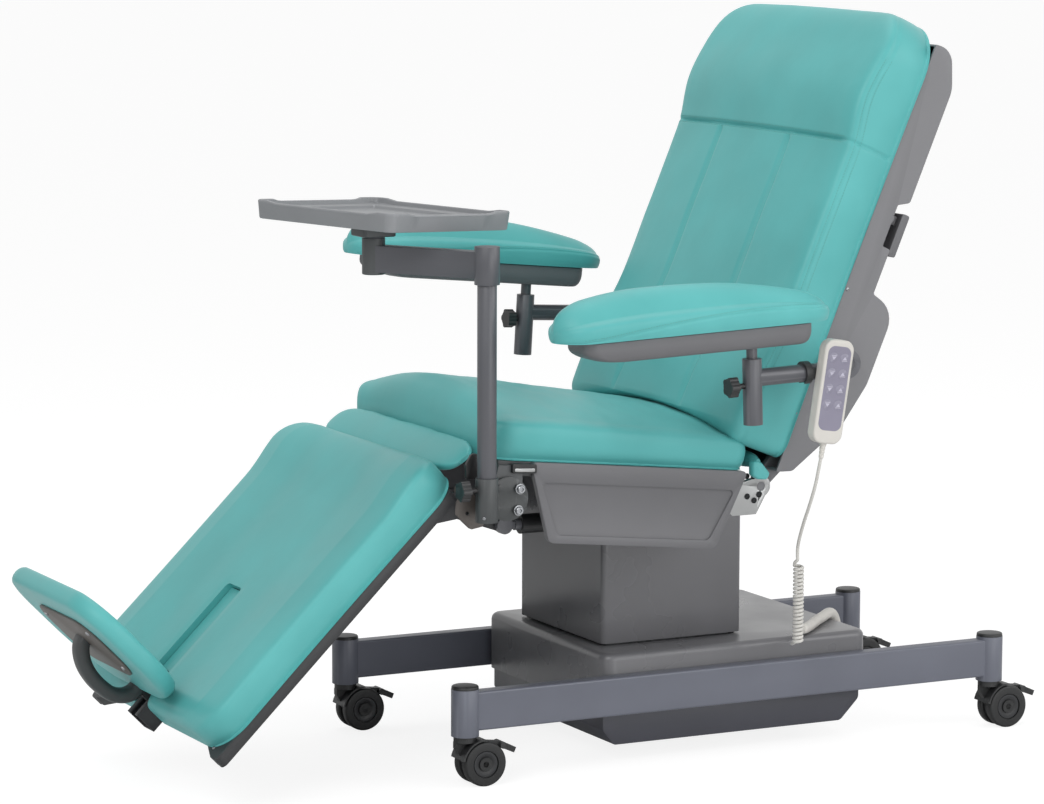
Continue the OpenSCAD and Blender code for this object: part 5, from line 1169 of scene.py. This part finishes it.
def makeHandset():
    h = handset
    place = onBase @ shift(*h["foot"]) @ turnX(h["lean"])
    half, up = h["thick"] / 2, h["size"][1] / 2
    rear, front = edgeLevels(h["rearEdge"], -half, 1), edgeLevels(h["frontEdge"], half, -1)
    levels = [*rear, *h["parting"], *reversed(front)]
    shapes = [skinRings(handsetRings(h["size"], levels, up)), lathe(h["relief"], (0, 0, 0), (0, 0, 1), 24)]
    addPiece("handsetCase", joinShapes(shapes), place, finishes["pale_plastic"], 36, "arm_left",
             "pale_plastic", "handset_body")
    film = handsetRings(h["film"], [(inset, half + x) for inset, x in h["filmLevels"]], up + h["filmUp"])
    addPiece("handsetFilm", skinRings(film), place, finishes["key_film"], 30, "arm_left", "key_film",
             "handset_keypad")
    spots = [(column * h["columnGap"] / 2, up + h["rowsUp"] + (row - (h["rows"] - 1) / 2) * h["rowStep"])
             for row in range(h["rows"]) for column in (-1, 1)]
    keys = [spot(place, (half + h["keyFace"], y, z), (1, 0, 0)) for y, z in spots]
    layOut("handsetKeys", keys, profiles["key"], 28, finishes["key_film"], "arm_left", "key_film")
    marks = [skinRings([[(half + x, y + a, z + b * way) for a, b in outline] for x in h["markFace"]])
             for (y, z), way in zip(spots, (-1, 1) * h["rows"]) for outline in h["marks"]]
    addPiece("handsetMarks", joinShapes(marks), place, accents["keyInk"], 30, "arm_left", "key_film")


# The hook on the arm's tube that holds the handset: an open ring with a short arm
collar = {
    "at": (430, 20, 711), "long": 12, "inner": 15.15, "outer": 20, "open": (-65, 245), "steps": 40,
    "armFrom": 448, "armEnd": 447.5, "armLong": 24, "armHalf": 9, "armCorner": 3,
}


def makeCollar():
    c = collar
    turns = [math.radians(a) for a in np.linspace(*c["open"], c["steps"])]
    ring = [(r * math.cos(t), r * math.sin(t)) for r, way in ((c["outer"], 1), (c["inner"], -1))
            for t in turns[::way]]
    x, y, z = c["at"]
    points = [(x + a, y + d, z + b) for d in (0, c["long"]) for a, b in ring]
    n = len(ring)
    faces = [(i, (i + 1) % n, n + (i + 1) % n, n + i) for i in range(n)]
    last = n // 2 - 1
    for base in (0, n):
        faces += [(base + i, base + i + 1, base + n - 2 - i, base + n - 1 - i) for i in range(last)]
    outline = roundedBox(c["armHalf"], 0, c["armLong"], c["armCorner"], 4)
    arm = skinRings([[(q, y + b, z + a) for a, b in outline] for q in (c["armFrom"], c["armEnd"])])
    addPiece("handsetCollar", joinShapes([(points, faces), arm]), onArm(1), finishes["dark_plastic"], 35,
             "arm_left", "dark_plastic")


# Front hinge's cast plate, the latch block beside it, the flap's hook and the small tongue behind the seat

castPlate = {"outline": ((46, 82), (30, 60), (44, 16), (60, -6), (80, 8), (82, 50)), "radii": [5] * 6,
             "steps": 4, "x": (275.2, 285.0), "edge": 0.8, "bolts": ((52, 58), (66, 34), (60, 12))}
latch = {"outline": ((-470, 546), (-424, 543), (-424, 559), (-470, 563)), "radii": [3] * 4, "steps": 4,
         "x": (293.4, 300.2), "edge": 0.8}
strip = {"outline": ((-466, 549), (-428, 546.5), (-428, 552), (-466, 554.5)), "radii": [1.5] * 4,
         "steps": 3, "x": (299.9, 301.1), "edge": 0.3}
hook = {"outline": ((-556, 541), (-557, 566), (-546, 584), (-535, 584), (-527, 570), (-528, 541)),
        "radii": (4, 8, 8, 8, 8, 4), "steps": 4, "x": (290.6, 297), "edge": 0.8}
tongue = {"outline": ((0, 538), (18, 532), (35, 512), (29, 501), (10, 503), (0, 510)), "radii": [6] * 6,
          "steps": 5, "x": (284, 303), "edge": 4.0}


def plateOf(piece):
    outline = roundedOutline(piece["outline"], piece["radii"], piece["steps"])
    return plateX(outline, *piece["x"], piece["edge"])


def makeFrontDetails():
    addPiece("castHingePlate", plateOf(castPlate), onLeg, accents["brownPlate"], 35, "leg_rest", "grey_steel")
    heads = [spot(onLeg, (castPlate["x"][1], u, n), (1, 0, 0)) for u, n in castPlate["bolts"]]
    layOut("castPlateBolts", heads, profiles["smallHead"], 18, accents["blackScrew"], "leg_rest",
           "grey_steel")
    black, zinc = finishes["dark_plastic"], accents["zincPlate"]
    for name, piece, material, slot in (("latchBlock", latch, black, "dark_plastic"),
                                        ("latchStrip", strip, zinc, "grey_steel"),
                                        ("flapHook", hook, black, "dark_plastic")):
        addPiece(name, plateOf(piece), onBase, material, 35, "seat", slot)
    for side, name in bothSides:
        mirrored = onBase @ np.diag((float(side), 1.0, 1.0, 1.0))
        addPad("backTongue_" + name, plateOf(tongue), mirrored, "back", sharp=60)
    print("stage: hinge details made")


# Footboard's carrier: slider, stem, cast plate and the round loop that a hand pulls

# Blocks are half width, from and to along the leg rest, and from and to above it
footCarrier = {
    "blocks": ((18, 540, 600, 89.5, 125.5), (9, 576, 600, 89.5, 144), (9, 576, 636, 122.2, 144.2)),
    "plate": (124, 214, 356, 52), "plateLevels": ((632.4, 0.99), (633, 1), (635.6, 1), (636.4, 0.985)),
    "screwIn": 26, "loopSize": (18, 13), "loopFull": 0.7, "loopSides": 28,
    "loop": ((630, 290), (644, 286), (658, 272), (669, 250), (674, 220), (671, 187), (660, 167), (645, 157),
             (630, 155)),
    "tape": (30.2, 388.5, 574, 130.4, 132.2),
}


def blockX(half, u0, u1, n0, n1, edge=1.2):
    # A block across X with its four long edges rounded.
    outline = roundedOutline([(u0, n0), (u1, n0), (u1, n1), (u0, n1)], [edge] * 4, 3)
    return skinRings([[(x * k, u, n) for u, n in outline]
                      for x, k in ((-half, 0.97), (-half, 1), (half, 1), (half, 0.97))])


def makeFootCarrier():
    f = footCarrier
    path = spline([(0, u, n) for u, n in f["loop"]], 6)
    wide, thick = f["loopSize"]
    turns = [(squarer(math.cos(t), f["loopFull"]), squarer(math.sin(t), f["loopFull"]))
             for t in fullTurn(f["loopSides"])]
    across = np.array((1.0, 0.0, 0.0))
    rings = []
    for i, q in enumerate(path):
        out = np.cross(across, heading(path, i))
        rings.append([q + wide * a * across + thick * b * out for a, b in turns])
    shapes = [blockX(*block) for block in f["blocks"]] + [skinRings(rings)]
    addPiece("footCarrier", joinShapes(shapes), onLeg, finishes["dark_paint"], 35, "foot_rest",
             "dark_paint", "foot_slider")
    half, low, high, corner = f["plate"]
    outline, middle = roundedBox(half, low, high, corner, 8), (low + high) / 2
    plate = [[(x * k, u, middle + (n - middle) * k) for x, n in outline] for u, k in f["plateLevels"]]
    addPiece("footPlate", skinRings(plate), onLeg, accents["brownPlate"], 35, "foot_rest", "dark_paint")
    inset, face = f["screwIn"], f["plateLevels"][-1][0]
    screws = [spot(onLeg, (x, face, n), (0, 1, 0)) for x in (inset - half, half - inset)
              for n in (low + inset, high - inset)]
    layOut("footPlateScrews", screws, profiles["panHead"], 20, accents["zincScrew"], "foot_rest",
           "dark_paint")
    addPiece("slotTape", blockX(*f["tape"], 0.8), onLeg, finishes["vinyl"], 35, "foot_rest", "vinyl")


# Leg frame's lower corners, the cord's boot and the dark block at the swing arm's end

legCorner = {"outline": ((287, 560), (287, 663), (262, 663), (196, 636), (196, 632), (262, 560)),
             "radii": (2, 10, 8, 2, 2, 4), "levels": ((65.2, 0.985), (66, 1), (85.8, 1), (86.6, 0.985)),
             "screw": (250, 646)}
boot = {
    "radius": 9.6, "rise": 1.6, "tip": 0.7, "rib": 0.86, "ribEvery": 4, "ribsTo": 16, "sides": 20,
    "gland": ((0.1, 0), (13, 0), (14, 1), (14, 24), (12, 26), (0.1, 26)), "glandAt": (92, 300, 139.9),
    "points": ((238, 142, 213), (222, 158, 210), (196, 184, 208.5), (164, 216, 208.5), (132, 250, 208.5),
               (110, 274, 208.5), (98, 290, 202.5), (92, 300, 186), (90, 303, 166)),
}
swingBlock = {"at": (142.1, -656.0, 879.6), "profile": ((0.1, 0), (18.6, 0), (19.8, 1.2), (19.8, 61.7),
                                                       (18.6, 62.9), (0.1, 62.9))}


def makeLegCorners():
    levels = legCorner["levels"]
    shapes = []
    for side in (1, -1):
        outline = roundedOutline([(side * x, u) for x, u in legCorner["outline"]], legCorner["radii"], 4)
        middle = np.mean(outline, axis=0)
        shapes.append(skinRings([[(*(middle + (q - middle) * k), n) for q in outline] for n, k in levels]))
    addPiece("legCorners", joinShapes(shapes), onLeg, finishes["leg_board"], 35, "leg_rest", "leg_board")
    x, u = legCorner["screw"]
    heads = [spot(onLeg, (side * x, u, face), (0, 0, way)) for side in (1, -1)
             for face, way in ((levels[0][0], -1), (levels[-1][0], 1))]
    layOut("legCornerScrews", heads, profiles["smallHead"], 18, accents["zincScrew"], "leg_rest", "leg_board")


def makeBoot():
    b = boot
    path = spline([(x, y, z + b["rise"]) for x, y, z in b["points"]], 5)
    widths = [b["radius"] * (b["rib"] if i < b["ribsTo"] and i % b["ribEvery"] == b["ribEvery"] - 1 else 1)
              for i in range(len(path))]
    widths[0] = b["radius"] * b["tip"]
    shapes = [skinRings(tubeRings(path, widths, b["sides"])), lathe(b["gland"], b["glandAt"], (0, 0, 1), 28)]
    addPiece("cordBoot", joinShapes(shapes), onBase, finishes["pale_plastic"], 40, "base", "pale_plastic",
             "cord_boot")


def makeSwingBlock():
    block = lathe(swingBlock["profile"], swingBlock["at"], (0, 0, 1), 48)
    addPiece("swingBlock", block, onBase, finishes["dark_paint"], 35, "swing_arm", "dark_paint")


makeStitches()
makeHardware()
makeFootCarrier()
makeLegCorners()
makeBoot()
makeSwingBlock()
makeTray()
makeHandset()
makeCollar()
makeFrontDetails()
